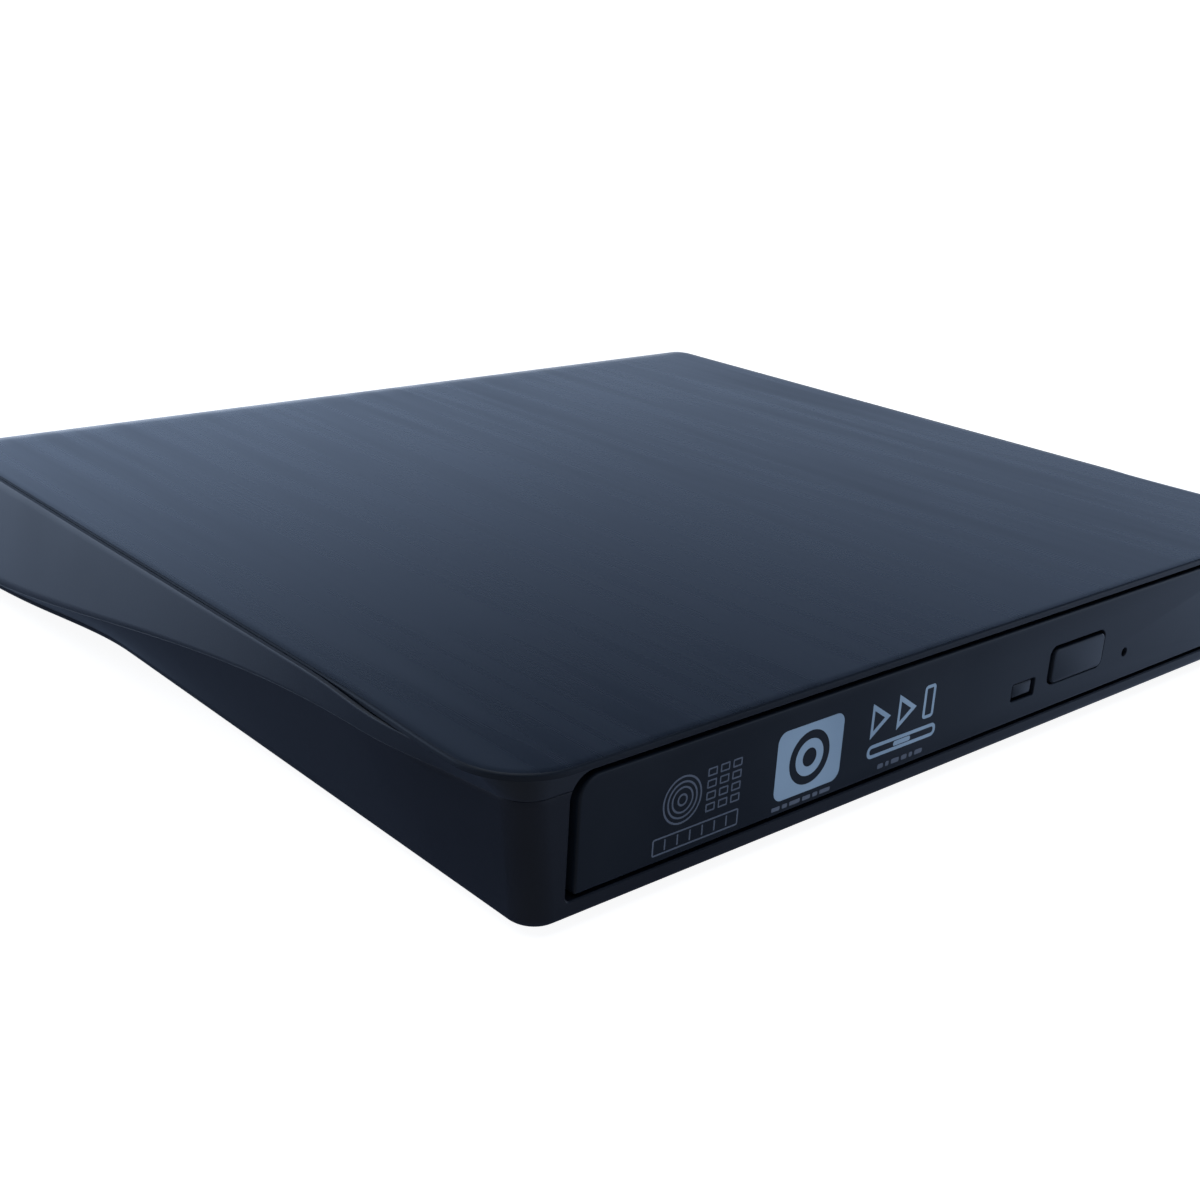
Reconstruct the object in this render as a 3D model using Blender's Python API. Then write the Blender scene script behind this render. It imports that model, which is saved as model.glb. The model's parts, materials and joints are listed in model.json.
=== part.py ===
"""A slim external optical drive: a plastic case with a brushed top plate around a tray-load drive.

Every length below is in millimetres, and the meshes are built in metres. Pieces are placed in the
case's own coordinates: x to the right of the centre line, s behind the case's front face and h above
the case's underside. The traverse, the unit that carries the motor and the pickup, has coordinates
u outwards from the spindle and v across, because it lies at 45 degrees in the tray.
"""

import math

import bmesh
import bpy
from mathutils import Matrix, Vector

MM = 0.001
GAP = 0.3

# Case
CASE_HEIGHT = 17.4
CASE_DEPTH = 142.0
FOOT_HEIGHT = 1.2
FOOT_RADIUS = 5.0
PLATE_OVERHANG = 1.2
PLATE_THICKNESS = 0.7
PLATE_CHAMFER = 0.25
WEB_UNDERSIDE = 1.65
WALL = 1.8
FLOOR = 1.8
CURL_START = 130.0
CURL_LENGTH = CASE_DEPTH - CURL_START
CURL_DROP = 9.5
BASE_FILLET = 1.1
FOOT_PLACES = [(side * 52.0, s) for side in (-1, 1) for s in (14.0, 126.0)]
SCREW_PLACES = [(side * 66.6, s) for side in (-1, 1) for s in (20.0, 134.0)]
FRONT_Y = (PLATE_OVERHANG - CASE_DEPTH) / 2

# Front opening and tray bezel
OPENING = {"half_width": 65.15, "low": 2.2, "high": 15.7, "low_radius": 0.6, "high_radius": 2.8}
BEZEL = {"half_width": 64.65, "low": 2.65, "high": 15.25, "low_radius": 0.4, "high_radius": 2.5}
BEZEL_DEPTH = 3.0
BUTTON = (13.0, 24.5, 6.2, 10.8)
BUTTON_PROUD = 0.35
LAMP = (5.6, 9.7, 5.8, 7.5)
RELEASE_HOLE = (30.3, 6.6)

# Rear connectors
BRIDGE_TOP = 3.5
USB_PORT = (6.0, 18.6, 3.8, 6.4)
DC_JACK = (-15.7, 4.9)

# Drive housing
DRIVE_HALF_WIDTH = 63.9
DRIVE_FRONT = 3.6
DRIVE_BACK = 129.4
DRIVE_LOW = 2.65
DRIVE_HIGH = 15.25
SHEET = 0.6
WALL_TOP = 14.4

# Tray
SPINDLE_S = 66.0
DISC_WELL_RADIUS = 60.8
TRAY_FRONT = 3.3
TRAY_BACK = 125.5
TRAY_TOP = 11.2
TRAY_FLOOR_TOP = 9.7
TRAY_FLOOR_LOW = 8.5
TRAY_WALL_LOW = 4.5
TRAY_PLATE_TOP = 4.15
RAIL_LENGTH = 110.0

# Traverse
DECK_LOW = 7.2
DECK_HIGH = 8.0
ROTOR_HOLE = 13.2
SLOT_HALF = 10.2
ROD_V = 13.2
ROD_H = 5.7
ROD_RADIUS = 0.75
BORE_RADIUS = 1.0
SCREW_V = -20.1
SCREW_H = 6.3
SCREW_RADIUS = 0.85
LENS_REST = 24.0
DISC_SEAT = 10.5
HUB_RADIUS = 7.3
DAMPERS = [(-18.5, -14.5), (-18.5, 14.5), (40.0, 21.3)]

# Latch
LATCH_PIVOT = (45.5, 20.0)
LATCH_POST = (51.5, 9.0)

CORNER_STEPS = 6
SIDE_STATIONS = [10.0 + 4 * i for i in range(5)] + [33.0 + 7 * i for i in range(14)] + [130.0, 133.0]


# --- coordinates ---------------------------------------------------------------------------------


def plan(x, s, h):
    """A point given in case coordinates, in metres."""
    return Vector((x, s + FRONT_Y, h + FOOT_HEIGHT)) * MM


def front_view(x, h, s):
    return plan(x, s, h)


def traverse(u, v, h):
    """A point of the traverse: u runs from the spindle towards the front left corner."""
    diagonal = math.sqrt(0.5)
    return plan(-diagonal * (u + v), SPINDLE_S - diagonal * (u - v), h)


def across_traverse(v, h, u):
    return traverse(u, v, h)


def around_spindle(degrees, place):
    """A place function like the given one, with its first direction turned about the spindle."""
    cosine, sine = math.cos(math.radians(degrees)), math.sin(math.radians(degrees))

    def turned_place(out, across, h):
        return place(out * cosine - across * sine, out * sine + across * cosine, h)

    return turned_place


def about_spindle(x, y, h):
    """A point given from the spindle's axis, with y towards the rear."""
    return plan(x, SPINDLE_S + y, h)


def smooth(t):
    t = min(max(t, 0.0), 1.0)
    return t * t * (3 - 2 * t)


# --- outlines ------------------------------------------------------------------------------------


def rectangle(a0, a1, b0, b1):
    return [(a0, b0), (a1, b0), (a1, b1), (a0, b1)]


def rounded(a0, a1, b0, b1, low_radius, high_radius=None, steps=5):
    """A rectangle whose two corners at b0 have one radius and whose two at b1 have another."""
    high_radius = low_radius if high_radius is None else high_radius
    corners = [
        (a1 - low_radius, b0 + low_radius, low_radius, -90),
        (a1 - high_radius, b1 - high_radius, high_radius, 0),
        (a0 + high_radius, b1 - high_radius, high_radius, 90),
        (a0 + low_radius, b0 + low_radius, low_radius, 180),
    ]
    points = []
    for a, b, radius, start in corners:
        for step in range(steps + 1):
            angle = math.radians(start + 90 * step / steps)
            points.append((a + radius * math.cos(angle), b + radius * math.sin(angle)))
    return points


def circle(a, b, radius, segments):
    turns = [2 * math.pi * i / segments for i in range(segments)]
    return [(a + radius * math.cos(t), b + radius * math.sin(t)) for t in turns]


# --- solids --------------------------------------------------------------------------------------


def prism(outline, low, high, place=plan):
    """The outline, extruded from low to high along the third direction of place."""
    bm = bmesh.new()
    bottom = [bm.verts.new(place(a, b, low)) for a, b in outline]
    face = bm.faces.new(bottom)
    top = bmesh.ops.extrude_face_region(bm, geom=[face], use_keep_orig=True)["geom"]
    moved = [item for item in top if isinstance(item, bmesh.types.BMVert)]
    shift = place(*outline[0], high) - place(*outline[0], low)
    bmesh.ops.translate(bm, verts=moved, vec=shift)
    return bm


def block(a0, a1, b0, b1, low, high, place=plan):
    return prism(rectangle(a0, a1, b0, b1), low, high, place)


def cylinder(a, b, radius, low, high, segments=24, place=plan):
    return prism(circle(a, b, radius, segments), low, high, place)


def turned(profile, x, s, segments):
    """The profile, a list of radius and height, turned about an upright axis."""
    bm = bmesh.new()
    verts = [bm.verts.new(plan(x + radius, s, h)) for radius, h in profile]
    edges = [bm.edges.new(pair) for pair in zip(verts, verts[1:])]
    bmesh.ops.spin(
        bm, geom=verts + edges, cent=plan(x, s, 0), axis=(0, 0, 1), angle=2 * math.pi,
        steps=segments, use_merge=True,
    )
    bmesh.ops.remove_doubles(bm, verts=bm.verts, dist=1e-6)
    return bm


def stacked(levels, place):
    """A closed solid through levels, each an outline and its place along the third direction."""
    bm = bmesh.new()
    loops = [[bm.verts.new(place(a, b, level)) for a, b in outline] for outline, level in levels]
    for first, second in zip(loops, loops[1:]):
        for i in range(len(first)):
            bm.faces.new((first[i - 1], first[i], second[i], second[i - 1]))
    bm.faces.new(loops[0])
    bm.faces.new(reversed(loops[-1]))
    return bm


def lofted(rings):
    """A symmetric shell through rings, each the right half of a closed loop as x, s and h."""
    bm = bmesh.new()
    loops = []
    for ring in rings:
        right = [bm.verts.new(plan(x, s, h)) for x, s, h in ring]
        left = [bm.verts.new(plan(-x, s, h)) for x, s, h in reversed(ring)]
        loops.append(right + left)
    count = len(loops[0])
    for first, second in zip(loops, loops[1:]):
        for i in range(count):
            j = (i + 1) % count
            bm.faces.new((first[i], first[j], second[j], second[i]))
    for loop in (loops[0], loops[-1]):
        for i in range(count // 2 - 1):
            bm.faces.new((loop[i], loop[i + 1], loop[count - 2 - i], loop[count - 1 - i]))
    return bm


def piece(name, bm, paint=None, origin=None):
    """The object of a mesh, with its origin at a point given in metres."""
    bmesh.ops.recalc_face_normals(bm, faces=bm.faces)
    mesh = bpy.data.meshes.new(name)
    bm.to_mesh(mesh)
    bm.free()
    obj = bpy.data.objects.new(name, mesh)
    bpy.context.scene.collection.objects.link(obj)
    if origin is not None:
        mesh.transform(Matrix.Translation(-origin))
        obj.location = origin
    if paint is not None:
        mesh.materials.append(paint)
    return obj


def helper(name, bm):
    obj = piece(name, bm)
    obj.hide_render = True
    obj.display_type = "WIRE"
    return obj


def combine(obj, operation, meshes):
    for number, bm in enumerate(meshes):
        tool = helper(f"{obj.name}_{operation.lower()}_{number}", bm)
        modifier = obj.modifiers.new(tool.name, "BOOLEAN")
        modifier.operation = operation
        modifier.solver = "EXACT"
        modifier.object = tool


def cut(obj, *meshes):
    combine(obj, "DIFFERENCE", meshes)


def fuse(obj, *meshes):
    combine(obj, "UNION", meshes)


def round_off(obj, degrees=35):
    """Smooth shading on the round stretches of a piece."""
    obj.data.shade_smooth()
    obj.data.set_sharp_from_angle(angle=math.radians(degrees))


def chamfer(obj, width, degrees=40, segments=1):
    modifier = obj.modifiers.new("edge", "BEVEL")
    modifier.width = width * MM
    modifier.segments = segments
    modifier.limit_method = "ANGLE"
    modifier.angle_limit = math.radians(degrees)
    modifier.use_clamp_overlap = True


def carried_by(parent, *objects):
    for obj in objects:
        obj.parent = parent
        obj.matrix_parent_inverse = Matrix.Translation(-parent.location)


def axis_empty(name, location):
    empty = bpy.data.objects.new(name, None)
    empty.empty_display_size = 0.005
    bpy.context.scene.collection.objects.link(empty)
    empty.location = location
    bpy.context.view_layer.update()
    return empty


def material(name, color, roughness, metallic=0.0):
    made = bpy.data.materials.new(name)
    made.use_nodes = True
    shader = made.node_tree.nodes["Principled BSDF"]
    shader.inputs["Base Color"].default_value = (*color, 1)
    shader.inputs["Roughness"].default_value = roughness
    shader.inputs["Metallic"].default_value = metallic
    made.diffuse_color = (*color, 1)
    return made


# --- the case's shape ----------------------------------------------------------------------------


def base_half_width(s):
    """The lower wall at the floor: straight at the front, flaring out behind the middle."""
    return 70.0 + 4.5 * smooth((s - 84) / 34) + 1.0 * smooth((s - 110) / 25)


def crease_half_width(s):
    """The edge between the lower wall and the wing."""
    return 74.2 + 2.8 * min((s - 20) / 110, 1.0) - 2.2 * (1 - smooth(s / 22))


def crease_height(s):
    """The wing is a narrow band at the front and nearly the whole side at the back."""
    return 14.2 - 12.2 * smooth((s - 24) / 106)


def rim_half_width(s):
    return 74.5 - 1.6 * (1 - smooth(s / 24))


def plate_half_width(s):
    return 73.9 + 0.5 * (1 - smooth((s - 8) / 18))


def inner_rim_half_width(s):
    return min(74.2, rim_half_width(s) - GAP)


def half_outline(width, inset, front, back, front_radius, back_radius):
    """The right half of a plan outline, from its front edge round to its rear edge."""
    points = []
    centre = front + front_radius
    middle = width(centre) - inset - front_radius
    for step in range(CORNER_STEPS + 1):
        angle = math.radians(-90 + 90 * step / CORNER_STEPS)
        points.append((middle + front_radius * math.cos(angle), centre + front_radius * math.sin(angle)))
    points += [(width(s) - inset, s) for s in SIDE_STATIONS]
    centre = back - back_radius
    middle = width(centre) - inset - back_radius
    for step in range(CORNER_STEPS + 1):
        angle = math.radians(90 * step / CORNER_STEPS)
        points.append((middle + back_radius * math.cos(angle), centre + back_radius * math.sin(angle)))
    return points


def curl(s, depth):
    """Where the top surface lies at s, depth below its outer face, as a new s and a height."""
    if s <= CURL_START:
        return s, CASE_HEIGHT - depth
    turn = math.asin(min((s - CURL_START) / CURL_LENGTH, 1.0))
    back = CURL_START + (CURL_LENGTH - depth) * math.sin(turn)
    height = CASE_HEIGHT - CURL_DROP + (CURL_DROP - depth) * math.cos(turn)
    return back, height


def curled(outline, guide, depth):
    """An outline laid on the curled surface; guide gives the place of each station along it."""
    ring = []
    for (x, s), (_, along) in zip(outline, guide):
        back, height = curl(along, depth)
        ring.append((x, s if along <= CURL_START else back, height))
    return ring


def rim_height(s):
    """The rim beside the plate: flush with it along the sides, and below it at the front corners."""
    _, top = curl(s, 0.0)
    at_front = 1 - smooth((s - 18) / 14)
    at_back = smooth((s - CURL_START) / CURL_LENGTH)
    return top - 0.1 - 0.75 * at_front - 0.2 * at_back


def plate_outline(inset=0.0, back=CASE_DEPTH):
    return half_outline(plate_half_width, inset, inset - PLATE_OVERHANG, back, 8.0 - inset, 6.0)


def build_top_plate(paint):
    guide = plate_outline()
    inner = plate_outline(PLATE_CHAMFER, CASE_DEPTH - 0.02)
    obj = piece(
        "brushed_top_plate",
        lofted([
            curled(inner, inner, 0.0),
            curled(guide, guide, PLATE_CHAMFER),
            curled(guide, guide, PLATE_THICKNESS),
        ]),
        paint,
    )
    round_off(obj)
    return obj


def build_top_cover(paint):
    guide = plate_outline()
    web_depth = PLATE_THICKNESS + GAP
    web = half_outline(inner_rim_half_width, 0.1, 0.45, CASE_DEPTH - web_depth, 5.0, 5.5)
    rim_in = half_outline(inner_rim_half_width, 0.0, 0.35, CASE_DEPTH - 0.95, 5.1, 5.5)
    rim_out = half_outline(rim_half_width, 0.0, 0.0, CASE_DEPTH, 5.5, 6.4)
    crease_out = half_outline(crease_half_width, 0.0, 0.0, CASE_DEPTH, 3.6, 8.0)
    crease_in = half_outline(crease_half_width, 1.7, 1.7, CASE_DEPTH - WEB_UNDERSIDE, 1.9, 6.3)
    ceiling = half_outline(inner_rim_half_width, 1.2, 1.7, CASE_DEPTH - WEB_UNDERSIDE, 3.8, 5.0)
    obj = piece(
        "top_cover",
        lofted([
            curled(web, guide, web_depth),
            [(x, s, rim_height(g)) for (x, s), (_, g) in zip(rim_in, guide)],
            [(x, s, rim_height(g) - 0.05) for (x, s), (_, g) in zip(rim_out, guide)],
            [(x, s, crease_height(s) + GAP / 2) for x, s in crease_out],
            [(x, s, crease_height(s) + GAP / 2) for x, s in crease_in],
            curled(ceiling, guide, WEB_UNDERSIDE),
        ]),
        paint,
    )
    for x, s in SCREW_PLACES:
        _, underside = curl(s, WEB_UNDERSIDE)
        fuse(obj, cylinder(x, s, 1.6, 3.0, underside + 0.3, 14))
    for x, s in SCREW_PLACES:
        cut(obj, cylinder(x, s, 0.95, 2.0, 10.0, 12))
    x0, x1, low, high = USB_PORT
    cut(
        obj,
        front_opening(),
        prism(rounded(x0 - GAP, x1 + GAP, low - GAP, high + GAP, 0.6, steps=2), 138.0, 144.0, front_view),
        cylinder(*DC_JACK, 2.3, 138.0, 144.0, 20, front_view),
    )
    round_off(obj)
    return obj


def front_opening():
    half = OPENING["half_width"]
    outline = rounded(
        -half, half, OPENING["low"], OPENING["high"], OPENING["low_radius"], OPENING["high_radius"]
    )
    return prism(outline, -2.0, 2.6, front_view)


def build_bottom_case(paint):
    floor_in = BASE_FILLET * (1 - math.sqrt(0.5))
    outer = [
        half_outline(base_half_width, BASE_FILLET, BASE_FILLET, CASE_DEPTH - BASE_FILLET, 2.2, 6.9),
        half_outline(base_half_width, floor_in, floor_in, CASE_DEPTH - floor_in, 3.0, 7.7),
        half_outline(base_half_width, 0.0, 0.0, CASE_DEPTH, 3.3, 8.0),
    ]
    wall_out = half_outline(crease_half_width, 0.2, 0.0, CASE_DEPTH - 0.2, 3.5, 7.9)
    wall_in = half_outline(crease_half_width, WALL + 0.2, WALL, CASE_DEPTH - WALL - 0.2, 1.7, 6.1)
    floor = half_outline(base_half_width, WALL, WALL, CASE_DEPTH - WALL - 0.2, 1.5, 6.2)
    obj = piece(
        "bottom_case",
        lofted([
            [(x, s, 0.0) for x, s in outer[0]],
            [(x, s, floor_in) for x, s in outer[1]],
            [(x, s, BASE_FILLET) for x, s in outer[2]],
            [(x, s, crease_height(s) - GAP / 2) for x, s in wall_out],
            [(x, s, crease_height(s) - GAP / 2) for x, s in wall_in],
            [(x, s, FLOOR) for x, s in floor],
        ]),
        paint,
    )
    for side in (-1, 1):
        fuse(obj, block(side * 64.2, side * 64.7, 10.0, 124.0, 1.5, 6.0))
    for x in (-18.0, 50.0):
        fuse(obj, cylinder(x, 135.0, 1.5, 1.5, 2.3, 12))
    cut(obj, front_opening())
    for x, s in FOOT_PLACES:
        cut(obj, cylinder(x, s, FOOT_RADIUS + GAP, -1.0, 0.65, 28))
    screw_well = [(0, -1), (2.0, -1), (2.0, 1.1), (0.95, 1.1), (0.95, 3.0), (0, 3.0)]
    for x, s in SCREW_PLACES:
        cut(obj, turned(screw_well, x, s, 16))
    round_off(obj)
    return obj


def build_feet_and_screws(rubber, steel):
    made = []
    names = ("front_left", "rear_left", "front_right", "rear_right")
    foot = [
        (0, -FOOT_HEIGHT), (FOOT_RADIUS - 0.5, -FOOT_HEIGHT), (FOOT_RADIUS, 0.5 - FOOT_HEIGHT),
        (FOOT_RADIUS, 0.35), (0, 0.35),
    ]
    screw = [(0, 0.45), (0.6, 0.45), (0.6, 0.2), (1.7, 0.2), (1.7, 0.8), (0.65, 0.8), (0.65, 8.0), (0, 8.5)]
    for name, (x, s) in zip(names, FOOT_PLACES):
        made.append(piece(f"rubber_foot_{name}", turned(foot, x, s, 28), rubber, plan(x, s, 0)))
    for name, (x, s) in zip(names, SCREW_PLACES):
        made.append(piece(f"case_screw_{name}", turned(screw, x, s, 14), steel, plan(x, s, 0)))
    for obj in made:
        round_off(obj)
    return made


# --- rear connectors -----------------------------------------------------------------------------


def build_bridge_electronics(board_paint, steel, plastic, contact):
    """The board behind the drive, with the connectors that stand on it."""
    x0, x1, low, high = USB_PORT
    jack_x, jack_h = DC_JACK
    seat = BRIDGE_TOP + GAP
    board = piece("bridge_board", block(-24, 57, 131.0, 139.4, BRIDGE_TOP - 0.9, BRIDGE_TOP), board_paint)

    shell = piece("usb_port_shell", block(x0, x1, 133.4, 141.6, low, high), steel)
    chamfer(shell, 0.4)
    cut(shell, block(x0 + 0.35, x1 - 0.35, 134.2, 143.0, low + 0.35, high - 0.35))
    blade = block(x0 + 1.2, x1 - 1.2, 134.5, 141.0, low + 1.0, low + 1.6)
    tongue = piece("usb_port_tongue", blade, plastic)

    jack = piece("dc_power_jack", block(jack_x - 3.3, jack_x + 3.3, 131.5, 139.9, seat, 7.0), plastic)
    fuse(jack, cylinder(jack_x, jack_h, 2.0, 139.8, 141.7, 20, front_view))
    cut(jack, cylinder(jack_x, jack_h, 1.05, 133.0, 143.0, 16, front_view))
    pin = piece("dc_power_jack_pin", cylinder(jack_x, jack_h, 0.45, 133.3, 141.0, 12, front_view), contact)

    receptacle = piece("sata_receptacle", block(29.0, 53.0, 130.6, 135.5, seat, 8.3), plastic)
    cut(receptacle, block(30.7, 51.3, 130.0, 134.0, 5.8, 7.3))
    return [board, shell, tongue, jack, pin, receptacle]


# --- drive housing -------------------------------------------------------------------------------


def build_drive_housing(sheet, plastic, board_paint, cable_paint):
    half = DRIVE_HALF_WIDTH
    inner = half - SHEET
    body = block(-half, half, DRIVE_FRONT, DRIVE_BACK, DRIVE_LOW, WALL_TOP)
    shell = piece("drive_bottom_shell", body, sheet)
    chamfer(shell, 0.3)
    cut(
        shell,
        block(-inner, inner, 0.0, DRIVE_BACK - SHEET, DRIVE_LOW + SHEET, WALL_TOP + 2),
        block(29.5, 52.5, DRIVE_BACK - 3, DRIVE_BACK + 2, 4.6, 8.3),
    )
    fuse(shell, cylinder(*LATCH_POST, 1.2, DRIVE_LOW + SHEET / 2, 4.7, 16))

    lid = piece(
        "drive_top_lid",
        prism(rounded(-half, half, DRIVE_FRONT, DRIVE_BACK, 1.5, steps=3), WALL_TOP + GAP, DRIVE_HIGH),
        sheet,
    )
    cut(lid, prism(rounded(-48, 48, 22, 112, 8, steps=4), DRIVE_HIGH - 0.2, DRIVE_HIGH + 1))
    board = piece("drive_main_board", block(-24, 56, 99.0, 127.8, 3.7, 4.6), board_paint)
    plug = piece("drive_sata_plug", block(30.0, 52.0, 123.5, 130.2, 4.9, 8.0), plastic)
    fuse(plug, block(31.0, 51.0, 129.5, 133.0, 6.1, 7.0))
    run = [(-50, 40), (-38, 40), (-38, 104), (-26, 104), (-26, 116), (-44, 116), (-50, 110)]
    cable = piece("flat_cable", prism(run, 3.4, 3.5), cable_paint)
    return [shell, lid, board, plug, cable]


def mirrored(outline, side):
    return [(side * a, b) for a, b in outline]


def channel(outer, tip, low, high, wall, lip):
    """A C-shaped section whose open side faces the tray."""
    return [
        (outer, low), (outer, high), (tip, high), (tip, high - lip),
        (outer - wall, high - lip), (outer - wall, low + lip), (tip, low + lip), (tip, low),
    ]


def build_rails(steel, plastic):
    guides, slides = [], []
    for name, side in (("left", -1), ("right", 1)):
        guide = mirrored(channel(63.0, 60.9, 3.9, 8.7, 0.6, 0.6), side)
        slide = mirrored(channel(62.1, 60.0, 4.8, 7.8, 0.6, 0.5), side)
        guides.append(piece(f"{name}_guide_rail", prism(guide, 6.0, 122.0, front_view), plastic))
        slides.append(piece(
            f"{name}_slide_rail", prism(slide, 8.0, 8.0 + RAIL_LENGTH, front_view), steel,
            plan(side * 61.0, 8.0, 6.3),
        ))
    return guides, slides


# --- tray ----------------------------------------------------------------------------------------


def build_tray(paint):
    right = [
        (62.5, TRAY_TOP), (62.5, 9.0), (59.7, 9.0), (59.7, 7.0), (61.2, 7.0), (61.2, 5.6), (59.7, 5.6),
        (59.7, TRAY_WALL_LOW), (57.9, TRAY_WALL_LOW), (57.9, TRAY_FLOOR_LOW),
    ]
    section = right + [(-a, b) for a, b in reversed(right)]
    obj = piece("tray", prism(section, TRAY_FRONT, 118.0, front_view), paint, plan(0, TRAY_FRONT, 6.3))
    web_top = TRAY_FLOOR_LOW + 0.3
    fuse(
        obj,
        block(-62.5, 62.5, 117.0, TRAY_BACK, 9.0, TRAY_TOP),
        block(-58.5, 58.5, TRAY_FRONT, 4.9, TRAY_WALL_LOW, web_top),
        block(-58.5, 47.6, 96.0, 97.5, TRAY_WALL_LOW, web_top),
        block(46.5, 47.7, 28.0, 97.0, TRAY_WALL_LOW, web_top),
    )
    cut(
        obj,
        cylinder(0, SPINDLE_S, DISC_WELL_RADIUS, TRAY_FLOOR_TOP, TRAY_TOP + 2, 72),
        block(-17.0, 63.5, -15.0, 15.0, 8.0, 12.0, traverse),
        cylinder(0, SPINDLE_S, 17.0, 8.0, 12.0, 40),
        block(15.5, 32.0, 1.0, 6.0, 5.2, 8.3),
    )
    for u, v in DAMPERS:
        fuse(obj, cylinder(u, v, 1.2, 4.9, web_top, 14, traverse))
    round_off(obj)
    return obj


def build_bezel(paint, lamp_paint):
    half = BEZEL["half_width"]
    edge = 0.35

    def outline(inset):
        return rounded(
            inset - half, half - inset, BEZEL["low"] + inset, BEZEL["high"] - inset,
            max(BEZEL["low_radius"] - inset, 0.05), BEZEL["high_radius"] - inset,
        )

    steps = ((edge, 0.0), (0.1, 0.1), (0.0, edge), (0.0, BEZEL_DEPTH))
    levels = [(outline(inset), s) for inset, s in steps]
    obj = piece("tray_bezel", stacked(levels, front_view), paint, plan(0, 0, 9.0))
    x0, x1, h0, h1 = BUTTON
    l0, l1, m0, m1 = LAMP
    cut(
        obj,
        block(-63.6, 63.6, 1.8, 5.0, 3.6, 14.3),
        prism(rounded(x0 - GAP, x1 + GAP, h0 - GAP, h1 + GAP, 1.2, steps=4), -2, 5, front_view),
        block(l0 - GAP, l1 + GAP, -2.0, 5.0, m0 - GAP, m1 + GAP),
        cylinder(*RELEASE_HOLE, 0.6, -2, 5, 16, front_view),
    )
    round_off(obj)
    lamp = piece("led_window", block(l0, l1, GAP, 2.6, m0, m1), lamp_paint)
    return [obj, lamp]


def build_button(paint):
    x0, x1, h0, h1 = BUTTON
    obj = piece(
        "eject_button",
        prism(rounded(x0, x1, h0, h1, 0.95, steps=4), -BUTTON_PROUD, 2.4, front_view),
        paint,
        plan((x0 + x1) / 2, 0, (h0 + h1) / 2),
    )
    chamfer(obj, 0.25, segments=2)
    fuse(obj, block(17.0, 20.5, 2.2, 5.9, 6.5, 8.1))
    round_off(obj)
    return obj


def build_tray_fittings(sheet, board_paint, plastic, copper, steel):
    sheet_outline = rounded(-57.5, 46.2, 5.3, 95.6, 4, steps=3)
    plate = piece("tray_bottom_plate", prism(sheet_outline, TRAY_PLATE_TOP - 0.3, TRAY_PLATE_TOP), sheet)
    board_top = 5.4
    seat = board_top + GAP
    board = piece("tray_board", block(8, 40, 6.5, 24, board_top - 0.8, board_top), board_paint)
    switch = piece("eject_switch", block(16.5, 21.5, 7.6, 11.5, seat, 8.1), plastic)
    fuse(switch, block(18.0, 20.0, 6.8, 8.0, 6.6, 7.6))
    winding = rounded(24, 38, seat, 8.1, 0.8, steps=3)
    solenoid = piece("latch_solenoid", prism(winding, 10.0, 18.0, front_view), copper)
    pin = piece("latch_pivot_pin", cylinder(*LATCH_PIVOT, 0.8, 4.5, 8.2, 14), steel)
    plunger = piece("eject_plunger", block(-45.0, -42.0, 108.0, 128.4, 5.4, 8.1), plastic)
    chamfer(plunger, 0.4)
    round_off(pin)
    return [plate, board, switch, solenoid, pin, plunger, build_eject_spring(steel)]


def build_eject_spring(steel):
    """The coil that pushes the plunger back against the housing, drawn as it is when compressed."""
    turns = 6
    per_turn = 10
    radius = 1.1
    wire = 0.18
    axis_x, axis_h = -43.5, 6.75
    start, length = 98.2, 9.2
    curve = bpy.data.curves.new("eject_spring", "CURVE")
    curve.dimensions = "3D"
    curve.bevel_depth = wire * MM
    curve.bevel_resolution = 1
    curve.use_fill_caps = True
    spline = curve.splines.new("POLY")
    count = turns * per_turn
    spline.points.add(count)
    for i in range(count + 1):
        angle = 2 * math.pi * i / per_turn
        x = axis_x + radius * math.cos(angle)
        h = axis_h + radius * math.sin(angle)
        spline.points[i].co = (*plan(x, start + length * i / count, h), 1)
    curve.materials.append(steel)
    obj = bpy.data.objects.new("eject_spring", curve)
    bpy.context.scene.collection.objects.link(obj)
    return obj


def build_latch_lever(steel):
    outline = [
        (43.2, 22.3), (43.2, 18.4), (48.6, 13.0), (49.9, 10.3), (51.5, 10.9), (53.0, 12.2), (51.8, 13.4),
        (48.4, 17.2), (47.8, 22.3),
    ]
    obj = piece("latch_lever", prism(outline, 5.0, 6.4), steel, plan(*LATCH_PIVOT, 5.7))
    cut(obj, cylinder(*LATCH_PIVOT, 1.1, 4.0, 7.0, 16))
    return obj


# --- traverse ------------------------------------------------------------------------------------


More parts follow.
